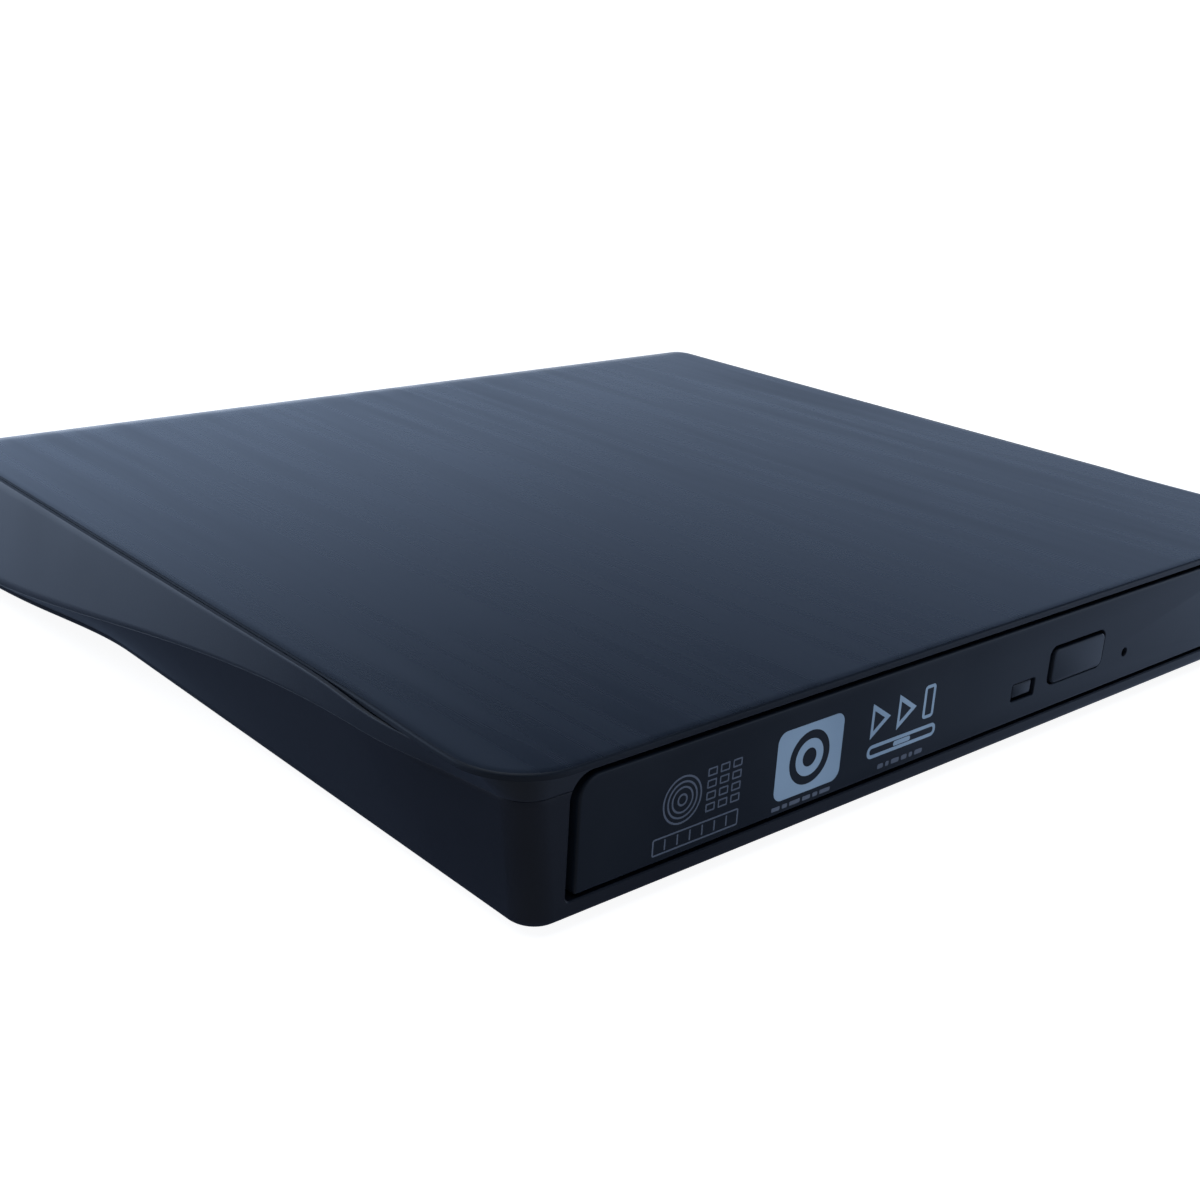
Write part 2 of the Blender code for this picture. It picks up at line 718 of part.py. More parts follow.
def build_deck(paint):
    outline = [(-22, -18), (65.5, -18), (65.5, 15), (62.5, 18), (-22, 18)]
    sheet = prism(outline, DECK_LOW, DECK_HIGH, traverse)
    obj = piece("traverse_deck", sheet, paint, plan(0, SPINDLE_S, DECK_LOW))
    fuse(obj, block(36, 44, 17, 25, DECK_LOW, DECK_HIGH, traverse))
    for v in (-ROD_V, ROD_V):
        for u0, u1 in ((12.9, 15.5), (63.3, 65.3)):
            fuse(obj, block(u0, u1, v - 2, v + 2, 4.5, DECK_LOW + 0.3, traverse))
    fuse(obj, block(62.4, 64.4, -21.6, -16.5, 4.6, DECK_HIGH - 0.2, traverse))
    cut(
        obj,
        block(12.0, 64.0, -SLOT_HALF, SLOT_HALF, 6.0, 10.0, traverse),
        cylinder(0, SPINDLE_S, ROTOR_HOLE, 6.0, 10.0, 36),
    )
    for v in (-ROD_V, ROD_V):
        cut(obj, cylinder(v, ROD_H, BORE_RADIUS, 10.0, 68.0, 16, across_traverse))
    cut(obj, cylinder(SCREW_V, SCREW_H, 1.15, 61.0, 67.0, 16, across_traverse))
    for u, v in DAMPERS:
        cut(obj, cylinder(u, v, 1.8, 6.0, 9.0, 16, traverse))
    return obj


def build_dampers(rubber):
    made = []
    for number, (u, v) in enumerate(DAMPERS, 1):
        ring = cylinder(u, v, 3.4, 4.5, DECK_LOW - GAP, 20, traverse)
        obj = piece(f"rubber_damper_{number}", ring, rubber)
        cut(obj, cylinder(u, v, 1.5, 4.0, 8.0, 16, traverse))
        round_off(obj)
        made.append(obj)
    return made


def build_spindle_motor(metal, copper):
    """The motor's fixed half: its base with three mounting posts, and the stator's wound poles."""
    profile = [
        (0, 4.5), (14.5, 4.5), (14.5, 5.0), (3.2, 5.0), (3.2, 8.3), (1.1, 8.3), (1.1, 5.0), (0, 5.0)
    ]
    base = piece("spindle_motor_base", turned(profile, 0, SPINDLE_S, 36), metal)
    for direction in (100, 180, 260):
        post = block(13.6, 17.5, -2.0, 2.0, 4.5, DECK_LOW - GAP, around_spindle(direction, traverse))
        fuse(base, post)
    round_off(base)

    pole = [(-14, 10.6), (14, 10.6), (14.5, 9.4), (7, 8.8), (7, 5.4), (33, 5.4), (33, 8.8), (25.5, 9.4)]
    poles = 9
    star = []
    for number in range(poles):
        for offset, radius in pole:
            turn = math.radians(360 * number / poles + offset)
            star.append((radius * math.cos(turn), radius * math.sin(turn)))
    coils = piece("motor_stator_coils", prism(star, 5.4, 8.5, about_spindle), copper)
    cut(coils, cylinder(0, SPINDLE_S, 3.5, 5.0, 9.0, 20))
    return base, coils


def build_turntable(plastic, claw_paint):
    """The hub that carries the disc and covers the stator, with three sprung claws in its slots."""
    profile = [
        (0, 12.2), (6.9, 12.2), (HUB_RADIUS, 11.8), (HUB_RADIUS, DISC_SEAT), (13.0, DISC_SEAT), (13.0, 9.7),
        (12.3, 9.5), (12.3, 5.6), (11.4, 5.6), (11.4, 8.9), (0.8, 8.9), (0.8, 5.3), (0, 5.3),
    ]
    turntable = piece(
        "turntable", turned(profile, 0, SPINDLE_S, 40), plastic, plan(0, SPINDLE_S, DISC_SEAT)
    )
    claws = []
    claw = [(4.9, 11.1), (7.1, 11.1), (7.9, 11.85), (7.9, 12.05), (7.5, 12.3), (4.9, 12.3)]
    for number in range(3):
        around = around_spindle(90 + 120 * number, about_spindle)

        def upright(out, h, across, around=around):
            return around(out, across, h)

        cut(turntable, block(3.9, 8.0, 10.8, 13.0, -1.5, 1.5, upright))
        claws.append(piece(
            f"clamp_claw_{number + 1}", prism(claw, -1.2, 1.2, upright), claw_paint,
            upright(6.0, 11.7, 0),
        ))
    round_off(turntable)
    return turntable, claws


def build_rods(steel):
    made = []
    for name, v in (("main_guide_rod", -ROD_V), ("sub_guide_rod", ROD_V)):
        obj = piece(name, cylinder(v, ROD_H, ROD_RADIUS, 12.9, 65.3, 16, across_traverse), steel)
        round_off(obj)
        made.append(obj)
    return made


def build_feed(motor_paint, steel, plastic):
    motor = piece("feed_motor", cylinder(SCREW_V, SCREW_H, 1.8, 9.0, 20.5, 24, across_traverse), motor_paint)
    screw = piece(
        "lead_screw", cylinder(SCREW_V, SCREW_H, SCREW_RADIUS, 20.8, 63.8, 16, across_traverse), steel,
        traverse(20.8, SCREW_V, SCREW_H),
    )
    follower = piece(
        "feed_follower", block(LENS_REST - 2.5, LENS_REST + 2.5, -22.0, -15.9, 4.6, 6.9, traverse), plastic
    )
    cut(follower, cylinder(SCREW_V, SCREW_H, 1.15, 15.0, 35.0, 16, across_traverse))
    round_off(motor)
    round_off(screw)
    return motor, screw, follower


def build_pickup(metal, plastic, glass):
    low, high = LENS_REST - 8, LENS_REST + 5
    body = block(low, high, -15.6, 15.6, 4.45, 6.9, traverse)
    sled = piece("pickup_sled", body, metal, traverse(LENS_REST, 0, ROD_H))
    fuse(sled, block(low + 0.1, high - 0.1, -9.6, 9.6, 6.5, 8.2, traverse))
    cut(sled, block(LENS_REST - 3.5, LENS_REST + 3.5, -4.2, 4.2, 7.0, 9.0, traverse))
    for v in (-ROD_V, ROD_V):
        cut(sled, cylinder(v, ROD_H, BORE_RADIUS, 10.0, 40.0, 16, across_traverse))
    holder = piece(
        "lens_holder", block(LENS_REST - 2.9, LENS_REST + 2.9, -3.6, 3.6, 7.7, 8.9, traverse), plastic,
        traverse(LENS_REST, 0, 8.3),
    )
    chamfer(holder, 0.3)
    cut(holder, cylinder(LENS_REST, 0, 2.3, 7.0, 10.0, 24, traverse))
    profile = ((2.0, 7.9), (2.0, 8.7), (1.6, 8.95), (1.0, 9.1))
    dome = [(circle(LENS_REST, 0, radius, 24), h) for radius, h in profile]
    lens = piece("objective_lens", stacked(dome, traverse), glass, traverse(LENS_REST, 0, 8.3))
    round_off(lens, 60)
    return sled, holder, lens


def main():
    for obj in list(bpy.data.objects):
        bpy.data.objects.remove(obj, do_unlink=True)

    brushed = material("brushed_blue_black", (0.075, 0.088, 0.115), 0.38, 0.3)
    case_plastic = material("case_plastic", (0.045, 0.052, 0.068), 0.42)
    bezel_plastic = material("bezel_plastic", (0.035, 0.040, 0.052), 0.38)
    tray_plastic = material("tray_plastic", (0.05, 0.05, 0.055), 0.5)
    rubber = material("foot_rubber", (0.02, 0.02, 0.02), 0.85)
    steel = material("bright_steel", (0.62, 0.62, 0.64), 0.28, 1.0)
    sheet = material("zinc_plated_sheet", (0.55, 0.56, 0.58), 0.35, 1.0)
    dark_metal = material("blackened_metal", (0.12, 0.12, 0.13), 0.45, 0.9)
    cast = material("cast_zinc", (0.42, 0.43, 0.45), 0.45, 1.0)
    copper = material("copper_winding", (0.72, 0.35, 0.18), 0.35, 0.9)
    board_green = material("board_green", (0.02, 0.16, 0.07), 0.5)
    black_plastic = material("black_moulding", (0.025, 0.025, 0.028), 0.5)
    cable_white = material("flat_cable_white", (0.75, 0.78, 0.82), 0.4)
    lamp_clear = material("light_pipe", (0.10, 0.12, 0.11), 0.15)
    lens_glass = material("lens_glass", (0.25, 0.35, 0.6), 0.03)

    case_parts = [build_top_plate(brushed), build_top_cover(case_plastic), build_bottom_case(case_plastic)]
    case_parts += build_feet_and_screws(rubber, steel)
    case_parts += build_bridge_electronics(board_green, steel, black_plastic, steel)
    case_parts += build_drive_housing(sheet, black_plastic, board_green, cable_white)
    guides, slides = build_rails(steel, black_plastic)
    case_parts += guides

    tray = build_tray(tray_plastic)
    tray_parts = [tray]
    tray_parts += build_bezel(bezel_plastic, lamp_clear)
    tray_parts += build_tray_fittings(sheet, board_green, black_plastic, copper, steel)
    tray_parts.append(build_deck(dark_metal))
    tray_parts += build_dampers(rubber)
    tray_parts += build_rods(steel)
    base, coils = build_spindle_motor(sheet, copper)
    turntable, claws = build_turntable(black_plastic, tray_plastic)
    feed_motor, lead_screw, follower = build_feed(sheet, steel, black_plastic)
    sled, holder, lens = build_pickup(cast, black_plastic, lens_glass)
    button = build_button(bezel_plastic)
    lever = build_latch_lever(steel)
    tray_parts += [base, coils, feed_motor]

    case_axis = axis_empty("case_frame", plan(0, 0, 0))
    tray_axis = axis_empty("tray_travel", plan(0, TRAY_FRONT, 6.3))
    pickup_axis = axis_empty("pickup_travel", traverse(LENS_REST, 0, ROD_H))
    bpy.context.view_layer.update()
    carried_by(case_axis, *case_parts, *slides, tray_axis)
    carried_by(pickup_axis, sled, follower, holder, lens)
    carried_by(tray_axis, *tray_parts, turntable, button, lever, lead_screw, *claws, pickup_axis)


main()
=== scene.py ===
"""The looks of a slim external optical drive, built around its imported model.

Lengths are in millimetres and the meshes are in metres. Pieces are placed in the case's own coordinates:
x to the right of the centre line, s behind the case's front face and h above the case's underside. On the
traverse, which lies at 45 degrees in the tray, u runs outwards from the spindle and v across.
"""

import json
import math

import bmesh
import bpy
from mathutils import Matrix, Vector

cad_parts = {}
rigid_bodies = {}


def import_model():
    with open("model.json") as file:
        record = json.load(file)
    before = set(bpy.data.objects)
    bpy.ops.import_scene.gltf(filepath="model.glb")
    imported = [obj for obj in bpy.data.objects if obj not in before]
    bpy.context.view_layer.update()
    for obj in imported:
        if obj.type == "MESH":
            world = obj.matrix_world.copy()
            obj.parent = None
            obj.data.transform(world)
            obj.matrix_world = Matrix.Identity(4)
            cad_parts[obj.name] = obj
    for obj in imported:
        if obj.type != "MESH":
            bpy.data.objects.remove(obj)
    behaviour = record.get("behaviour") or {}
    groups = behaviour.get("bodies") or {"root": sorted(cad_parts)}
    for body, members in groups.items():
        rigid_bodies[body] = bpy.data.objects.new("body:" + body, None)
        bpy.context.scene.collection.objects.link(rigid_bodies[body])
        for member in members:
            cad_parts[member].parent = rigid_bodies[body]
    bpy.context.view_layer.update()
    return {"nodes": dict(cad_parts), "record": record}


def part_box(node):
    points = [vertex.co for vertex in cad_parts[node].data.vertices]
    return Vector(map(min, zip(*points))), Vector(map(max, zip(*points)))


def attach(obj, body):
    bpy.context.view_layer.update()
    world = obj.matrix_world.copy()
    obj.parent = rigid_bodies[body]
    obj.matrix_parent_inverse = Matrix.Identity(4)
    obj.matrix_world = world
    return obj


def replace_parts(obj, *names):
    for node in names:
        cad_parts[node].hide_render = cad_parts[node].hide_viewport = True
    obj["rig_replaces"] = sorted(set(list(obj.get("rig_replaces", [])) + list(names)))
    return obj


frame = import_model()

MM = 0.001
WELD = 1e-6  # metres
GAP = 0.3  # beside a button, a lamp or a connector
SEAM = 0.02  # between the case's two halves

COVER_LOW, COVER_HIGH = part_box("top_cover")
CASE_LOW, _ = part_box("bottom_case")
PLATE_LOW, PLATE_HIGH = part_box("brushed_top_plate")
CASE_DEPTH = round((COVER_HIGH.y - CASE_LOW.y) / MM, 3)
CASE_HEIGHT = round((PLATE_HIGH.z - CASE_LOW.z) / MM, 3)
PLATE_OVERHANG = round((CASE_LOW.y - PLATE_LOW.y) / MM, 3)

PLATE_THICKNESS = 0.7
PLATE_FILLET = 0.3
PLATE_BORDER = 1.2  # how far in the flat top's own ring lies
RIM_FILLET = 0.14
CREASE_FILLET = 0.08
BASE_FILLET = 1.1
WALL = 1.8
FLOOR = 1.8
WEB_UNDERSIDE = 1.65
# The top surface bends down towards the rear over the last stretch of the case.
CURL_START = 130.0
CURL_LENGTH = CASE_DEPTH - CURL_START
CURL_DROP = 9.5
CURL_LINE = CASE_LOW.y + CURL_START * MM
CORNER_STEPS = 14
SIDE_STATIONS = [10 + 2.5 * i for i in range(48)] + [130 + 0.8 * i for i in range(5)] + [133.8]

OPENING = {"half_width": 65.45, "low": 2.2, "high": 15.7, "low_radius": 0.6, "high_radius": 2.8}
BEZEL = {"half_width": 64.4, "low": 2.65, "high": 15.25, "low_radius": 0.4, "high_radius": 2.5}
BEZEL_FILLET = 0.35
RELEASE_HOLE = (30.3, 6.6)  # x and h

CORNERS = ("front_left", "rear_left", "front_right", "rear_right")
TURNTABLE_LOW, TURNTABLE_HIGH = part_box("turntable")
SPINDLE_S = (TURNTABLE_LOW.y + TURNTABLE_HIGH.y) / 2 / MM - CASE_LOW.y / MM
DIAGONAL = math.sqrt(0.5)
HALFWAY = 1 - DIAGONAL  # the inset and the drop in the middle of a quarter round of radius 1


# --- coordinates ---------------------------------------------------------------------------------


def plan(x, s, h):
    """A point given in case coordinates, in metres."""
    return Vector((x * MM, CASE_LOW.y + s * MM, CASE_LOW.z + h * MM))


def front_view(x, h, s):
    """The same for an outline drawn as seen from the front."""
    return plan(x, s, h)


def on_traverse(u, v):
    """The x and s of a point given outwards from the spindle and across the traverse."""
    return -(u + v) * DIAGONAL, SPINDLE_S - (u - v) * DIAGONAL


def traverse(u, v, h):
    """A point given in the traverse's coordinates, in metres."""
    return plan(*on_traverse(u, v), h)


def case_box(name):
    """A CAD node's box as x, s and h ranges in millimetres."""
    low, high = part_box(name)
    return (
        (low.x / MM, high.x / MM),
        ((low.y - CASE_LOW.y) / MM, (high.y - CASE_LOW.y) / MM),
        ((low.z - CASE_LOW.z) / MM, (high.z - CASE_LOW.z) / MM),
    )


def middle_of(name):
    """The middle of a CAD node as x, s and h."""
    return tuple((low + high) / 2 for low, high in case_box(name))


def smooth(t):
    """A soft step from 0 to 1 while t goes from 0 to 1."""
    t = min(max(t, 0.0), 1.0)
    return t * t * (3 - 2 * t)


# --- outlines ------------------------------------------------------------------------------------


def rectangle(a0, a1, b0, b1):
    return [(a0, b0), (a1, b0), (a1, b1), (a0, b1)]


def rounded(a0, a1, b0, b1, low_radius, high_radius=None, steps=10):
    """A rectangle whose two corners at b0 have one radius and whose two at b1 have another."""
    high_radius = low_radius if high_radius is None else high_radius
    corners = [
        (a1 - low_radius, b0 + low_radius, low_radius, -90),
        (a1 - high_radius, b1 - high_radius, high_radius, 0),
        (a0 + high_radius, b1 - high_radius, high_radius, 90),
        (a0 + low_radius, b0 + low_radius, low_radius, 180),
    ]
    points = []
    for a, b, radius, start in corners:
        for step in range(steps + 1):
            angle = math.radians(start + 90 * step / steps)
            points.append((a + radius * math.cos(angle), b + radius * math.sin(angle)))
    return points


def circle(a, b, radius, segments=48):
    turns = [2 * math.pi * i / segments for i in range(segments)]
    return [(a + radius * math.cos(t), b + radius * math.sin(t)) for t in turns]


def quarter_round(radius, steps=5):
    """The inset and the drop at each step of a rounded edge, from the flat face to the side."""
    turns = [math.radians(90 * step / steps) for step in range(steps + 1)]
    return [(radius * (1 - math.sin(t)), radius * (1 - math.cos(t))) for t in turns]


# --- meshes --------------------------------------------------------------------------------------


def bridge(bm, loops):
    """Faces from each loop of vertices to the next one."""
    for first, second in zip(loops, loops[1:]):
        for i in range(len(first)):
            bm.faces.new((first[i - 1], first[i], second[i], second[i - 1]))


def solid(rings):
    """A closed solid through rings of points."""
    bm = bmesh.new()
    loops = [[bm.verts.new(point) for point in ring] for ring in rings]
    bridge(bm, loops)
    bm.faces.new(loops[0])
    bm.faces.new(reversed(loops[-1]))
    return bm


def stacked(levels, place=plan):
    """A closed solid through levels, each an outline and its place along the third direction."""
    return solid([[place(a, b, level) for a, b in outline] for outline, level in levels])


def prism(outline, low, high, place=plan):
    return stacked([(outline, low), (outline, high)], place)


def turned(profile, x, s, segments=64):
    """The profile, a list of radius and height, turned about an upright axis."""
    bm = bmesh.new()
    verts = [bm.verts.new(plan(x + radius, s, h)) for radius, h in profile]
    edges = [bm.edges.new(pair) for pair in zip(verts, verts[1:])]
    bmesh.ops.spin(
        bm, geom=verts + edges, cent=plan(x, s, 0), axis=(0, 0, 1), angle=2 * math.pi,
        steps=segments, use_merge=True,
    )
    bmesh.ops.remove_doubles(bm, verts=bm.verts, dist=WELD)
    return bm


def lofted(rings):
    """A symmetric shell through rings, each the right half of a closed loop as x, s and h."""
    bm = bmesh.new()
    loops = []
    for ring in rings:
        right = [bm.verts.new(plan(x, s, h)) for x, s, h in ring]
        left = [bm.verts.new(plan(-x, s, h)) for x, s, h in reversed(ring)]
        loops.append(right + left)
    count = len(loops[0])
    for first, second in zip(loops, loops[1:]):
        for i in range(count):
            j = (i + 1) % count
            bm.faces.new((first[i], first[j], second[j], second[i]))
    for loop in (loops[0], loops[-1]):
        for i in range(count // 2 - 1):
            bm.faces.new((loop[i], loop[i + 1], loop[count - 2 - i], loop[count - 1 - i]))
    return bm


def mixed(first, second, share):
    """A ring part of the way from one ring to another."""
    return [tuple(a + (b - a) * share for a, b in zip(p, q)) for p, q in zip(first, second)]


def linked(name, bm):
    """A new object with this mesh, its faces turned outwards."""
    bmesh.ops.recalc_face_normals(bm, faces=bm.faces)
    mesh = bpy.data.meshes.new(name)
    bm.to_mesh(mesh)
    bm.free()
    obj = bpy.data.objects.new(name, mesh)
    bpy.context.scene.collection.objects.link(obj)
    return obj


def apply_modifiers(obj):
    graph = bpy.context.evaluated_depsgraph_get()
    result = bpy.data.meshes.new_from_object(obj.evaluated_get(graph))
    obj.modifiers.clear()
    obj.data = result


def combine(obj, operation, meshes):
    """Boolean operations, applied at once."""
    tools = [linked(f"{obj.name}_tool_{number}", bm) for number, bm in enumerate(meshes)]
    for tool in tools:
        modifier = obj.modifiers.new(tool.name, "BOOLEAN")
        modifier.operation = operation
        modifier.solver = "EXACT"
        modifier.object = tool
    apply_modifiers(obj)
    for tool in tools:
        bpy.data.objects.remove(tool)


def cut(obj, *meshes):
    combine(obj, "DIFFERENCE", meshes)


def fuse(obj, *meshes):
    combine(obj, "UNION", meshes)


def finished(obj, body, slot, replaces=(), paint=None, degrees=35):
    """Gives a piece its material, its shading and its place in the frame."""
    obj.data.materials.clear()
    obj.data.materials.append(paint or PAINTS[slot])
    obj.data.shade_smooth()
    obj.data.set_sharp_from_angle(angle=math.radians(degrees))
    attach(obj, body)
    if replaces:
        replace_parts(obj, *replaces)
    return obj


# --- materials -----------------------------------------------------------------------------------

# Most of a noise texture's values lie between these two.
NOISE_LOW, NOISE_HIGH = 0.3, 0.7


def principled(name, color, roughness, metallic=0.0, **settings):
    """A new material, with further sockets of its shader set by name."""
    made = bpy.data.materials.new(name)
    made.use_nodes = True
    inputs = made.node_tree.nodes["Principled BSDF"].inputs
    inputs["Base Color"].default_value = (*color, 1)
    inputs["Roughness"].default_value = roughness
    inputs["Metallic"].default_value = metallic
    for socket, value in settings.items():
        inputs[socket.replace("_", " ")].default_value = value
    return made


def node(made, kind, links=None, **values):
    """A node, with inputs linked from other nodes' outputs or set to values."""
    tree = made.node_tree
    new = tree.nodes.new(kind)
    for key, value in values.items():
        setattr(new, key, value)
    for socket, source in (links or {}).items():
        tree.links.new(source, new.inputs[socket])
    return new


def noise(made, stretch, detail=3.0, roughness=0.55):
    """Noise whose grains per metre along x, y and z are given."""
    coordinates = node(made, "ShaderNodeTexCoord").outputs["Object"]
    mapping = node(made, "ShaderNodeMapping", {"Vector": coordinates})
    mapping.inputs["Scale"].default_value = stretch
    texture = node(made, "ShaderNodeTexNoise", {"Vector": mapping.outputs["Vector"]})
    texture.inputs["Scale"].default_value = 1.0
    texture.inputs["Detail"].default_value = detail
    texture.inputs["Roughness"].default_value = roughness
    return texture.outputs["Fac"]


def ranged(made, factor, low, high, start=NOISE_LOW, end=NOISE_HIGH):
    """A value that goes from low to high while the factor goes from start to end."""
    scale = node(made, "ShaderNodeMapRange", {"Value": factor})
    for socket, value in zip(("From Min", "From Max", "To Min", "To Max"), (start, end, low, high)):
        scale.inputs[socket].default_value = value
    return scale.outputs["Result"]


def blended(made, factor, first, second):
    """A colour between the first and the second one, by a noise texture's value."""
    ramp = node(made, "ShaderNodeValToRGB", {"Fac": factor})
    start, end = ramp.color_ramp.elements
    start.position, end.position = NOISE_LOW, NOISE_HIGH
    start.color, end.color = (*first, 1), (*second, 1)
    return ramp.outputs["Color"]


def joined(made, first, second, operation="MULTIPLY"):
    both = node(made, "ShaderNodeMath", {0: first, 1: second}, operation=operation)
    return both.outputs["Value"]


def wire(made, socket, source):
    """Links an output to a socket of the material's shader."""
    made.node_tree.links.new(source, made.node_tree.nodes["Principled BSDF"].inputs[socket])


def bump(made, height, distance, strength=1.0):
    relief = node(made, "ShaderNodeBump", {"Height": height})
    relief.inputs["Distance"].default_value = distance
    relief.inputs["Strength"].default_value = strength
    wire(made, "Normal", relief.outputs["Normal"])


def brushed_plate():
    """Blue-black film with hairlines that run from front to back, in softly lighter bands."""
    dark, light = (0.005, 0.0085, 0.016, 1), (0.0095, 0.015, 0.026, 1)
    made = principled("brushed_plate", (0.012, 0.018, 0.030), 0.33, IOR=1.5)
    hairlines = noise(made, (4200, 9, 500), detail=1.0, roughness=0.5)
    streaks = noise(made, (280, 20, 100), detail=1.0)
    patches = noise(made, (30, 14, 30), detail=1.0)
    bands = joined(made, ranged(made, streaks, 0.0, 0.7), ranged(made, patches, 0.35, 1.0))
    both = joined(made, ranged(made, hairlines, 0.0, 0.15), bands, "ADD")
    tone = node(made, "ShaderNodeMix", {"Factor": both}, data_type="RGBA")
    first, second = [socket for socket in tone.inputs if socket.type == "RGBA"]
    first.default_value, second.default_value = dark, light
    wire(made, "Base Color", next(socket for socket in tone.outputs if socket.type == "RGBA"))
    wire(made, "Roughness", ranged(made, both, 0.25, 0.35, start=0.0, end=1.0))
    bump(made, hairlines, distance=0.0000001, strength=0.5)
    return made


def moulded(name, dark, light, roughness, grain, depth, **settings):
    """Moulded plastic: a fine eroded grain, with colour and gloss that vary a little."""
    made = principled(name, dark, roughness, **settings)
    cloud = noise(made, (60, 60, 60), detail=2.0)
    wire(made, "Base Color", blended(made, cloud, dark, light))
    wire(made, "Roughness", ranged(made, cloud, low=roughness - 0.03, high=roughness + 0.04))
    bump(made, noise(made, (grain, grain, grain), detail=2.0), depth)
    return made


def metal(name, dark, light, roughness, stretch, depth=0.000004):
    """Metal with a brushed or rolled grain along one direction."""
    made = principled(name, dark, roughness, 1.0)
    grain = noise(made, stretch, detail=4.0)
    wire(made, "Base Color", blended(made, grain, dark, light))
    wire(made, "Roughness", ranged(made, grain, low=roughness - 0.07, high=roughness + 0.08))
    bump(made, grain, depth)
    return made


PAINTS = {
    "brushed_plate": brushed_plate(),
    "case_plastic": moulded("case_plastic", (0.006, 0.008, 0.014), (0.008, 0.011, 0.019), 0.44, 5000,
                            0.000008, IOR=1.31),
    "bezel_plastic": moulded("bezel_plastic", (0.005, 0.008, 0.014), (0.007, 0.011, 0.019), 0.36, 7000,
                             0.000004, IOR=1.33),
    "tray_plastic": moulded("tray_plastic", (0.016, 0.017, 0.020), (0.022, 0.023, 0.027), 0.5, 4500, 0.00001),
    "foot_rubber": moulded("foot_rubber", (0.012, 0.012, 0.013), (0.022, 0.022, 0.023), 0.85, 6000, 0.00002),
    "bright_steel": metal("bright_steel", (0.50, 0.50, 0.52), (0.66, 0.66, 0.68), 0.24, (400, 400, 3000)),
    "zinc_sheet": metal("zinc_sheet", (0.40, 0.41, 0.43), (0.56, 0.57, 0.58), 0.36, (900, 60, 900)),
    "blackened_metal": metal("blackened_metal", (0.035, 0.036, 0.040), (0.06, 0.06, 0.065), 0.42,
                             (1500, 1500, 1500)),
    "cast_metal": metal("cast_metal", (0.30, 0.31, 0.33), (0.44, 0.45, 0.47), 0.45, (2500, 2500, 2500),
                        0.00001),
    "copper_winding": metal("copper_winding", (0.55, 0.20, 0.08), (0.80, 0.38, 0.18), 0.3,
                            (300, 300, 9000), 0.00002),
    "circuit_board": moulded("circuit_board", (0.006, 0.075, 0.030), (0.010, 0.11, 0.045), 0.38, 3000,
                             0.000006),
    "black_moulding": moulded("black_moulding", (0.012, 0.012, 0.014), (0.018, 0.018, 0.020), 0.45, 4000,
                              0.000008),
    "flat_cable_film": moulded("flat_cable_film", (0.55, 0.58, 0.62), (0.70, 0.72, 0.75), 0.35, 2000,
                               0.000004),
    "light_pipe": moulded("light_pipe", (0.004, 0.006, 0.011), (0.006, 0.009, 0.015), 0.36, 1500, 0.000002,
                          IOR=1.29),
    "lens_glass": moulded("lens_glass", (0.04, 0.07, 0.20), (0.06, 0.10, 0.28), 0.05, 500, 0.000001),
}
COVER_PLASTIC = moulded("cover_plastic", (0.007, 0.010, 0.017), (0.009, 0.013, 0.022), 0.40, 5000, 0.000008,
                        IOR=1.46)
PLATE_EDGE = moulded("plate_edge", (0.005, 0.008, 0.014), (0.007, 0.011, 0.019), 0.45, 5000, 0.000004,
                     IOR=1.3)
PALE_INK = moulded("pale_ink", (0.14, 0.23, 0.35), (0.21, 0.32, 0.46), 0.6, 9000, 0.000002)
DIM_INK = moulded("dim_ink", (0.045, 0.065, 0.105), (0.075, 0.10, 0.155), 0.6, 9000, 0.000002)


# --- the case ------------------------------------------------------------------------------------


def base_half_width(s):
    """The lower wall at the floor: straight at the front, flaring out behind the middle."""
    return 70.0 + 4.5 * smooth((s - 84) / 34) + 1.0 * smooth((s - 110) / 25)


def crease_half_width(s):
    """The edge between the lower wall and the wing."""
    return 74.2 + 2.8 * min((s - 20) / 110, 1.0) - 2.2 * (1 - smooth(s / 22))


def crease_height(s):
    """The wing is a narrow band at the front and nearly the whole side at the back."""
    return 14.2 - 12.2 * smooth((s - 24) / 106)


def rim_half_width(s):
    """The outer edge of the rim beside the plate, which tapers at the front."""
    return 74.5 - 1.6 * (1 - smooth(s / 24))


def inner_rim_half_width(s):
    """The rim's inner edge, beside the groove that the plate lies in."""
    return min(74.1, rim_half_width(s) - 0.2)


def plate_half_width(s):
    """The plate reaches out over the rim at the front."""
    return 73.9 + 0.5 * (1 - smooth((s - 8) / 18))


def half_outline(width, inset, front, back, front_radius, back_radius):
    """The right half of a plan outline, from its front edge round to its rear edge."""
    points = []
    centre = front + front_radius
    middle = width(centre) - inset - front_radius
    for step in range(CORNER_STEPS + 1):
        angle = math.radians(-90 + 90 * step / CORNER_STEPS)
        points.append((middle + front_radius * math.cos(angle), centre + front_radius * math.sin(angle)))
    points += [(width(s) - inset, s) for s in SIDE_STATIONS]
    centre = back - back_radius
    middle = width(centre) - inset - back_radius
    for step in range(CORNER_STEPS + 1):
        angle = math.radians(90 * step / CORNER_STEPS)
        points.append((middle + back_radius * math.cos(angle), centre + back_radius * math.sin(angle)))
    return points


def curl(s, depth):
    """Where the top surface lies at s, depth below its outer face, as a new s and a height."""
    if s <= CURL_START:
        return s, CASE_HEIGHT - depth
    turn = math.asin(min((s - CURL_START) / CURL_LENGTH, 1.0))
    back = CURL_START + (CURL_LENGTH - depth) * math.sin(turn)
    height = CASE_HEIGHT - CURL_DROP + (CURL_DROP - depth) * math.cos(turn)
    return back, height


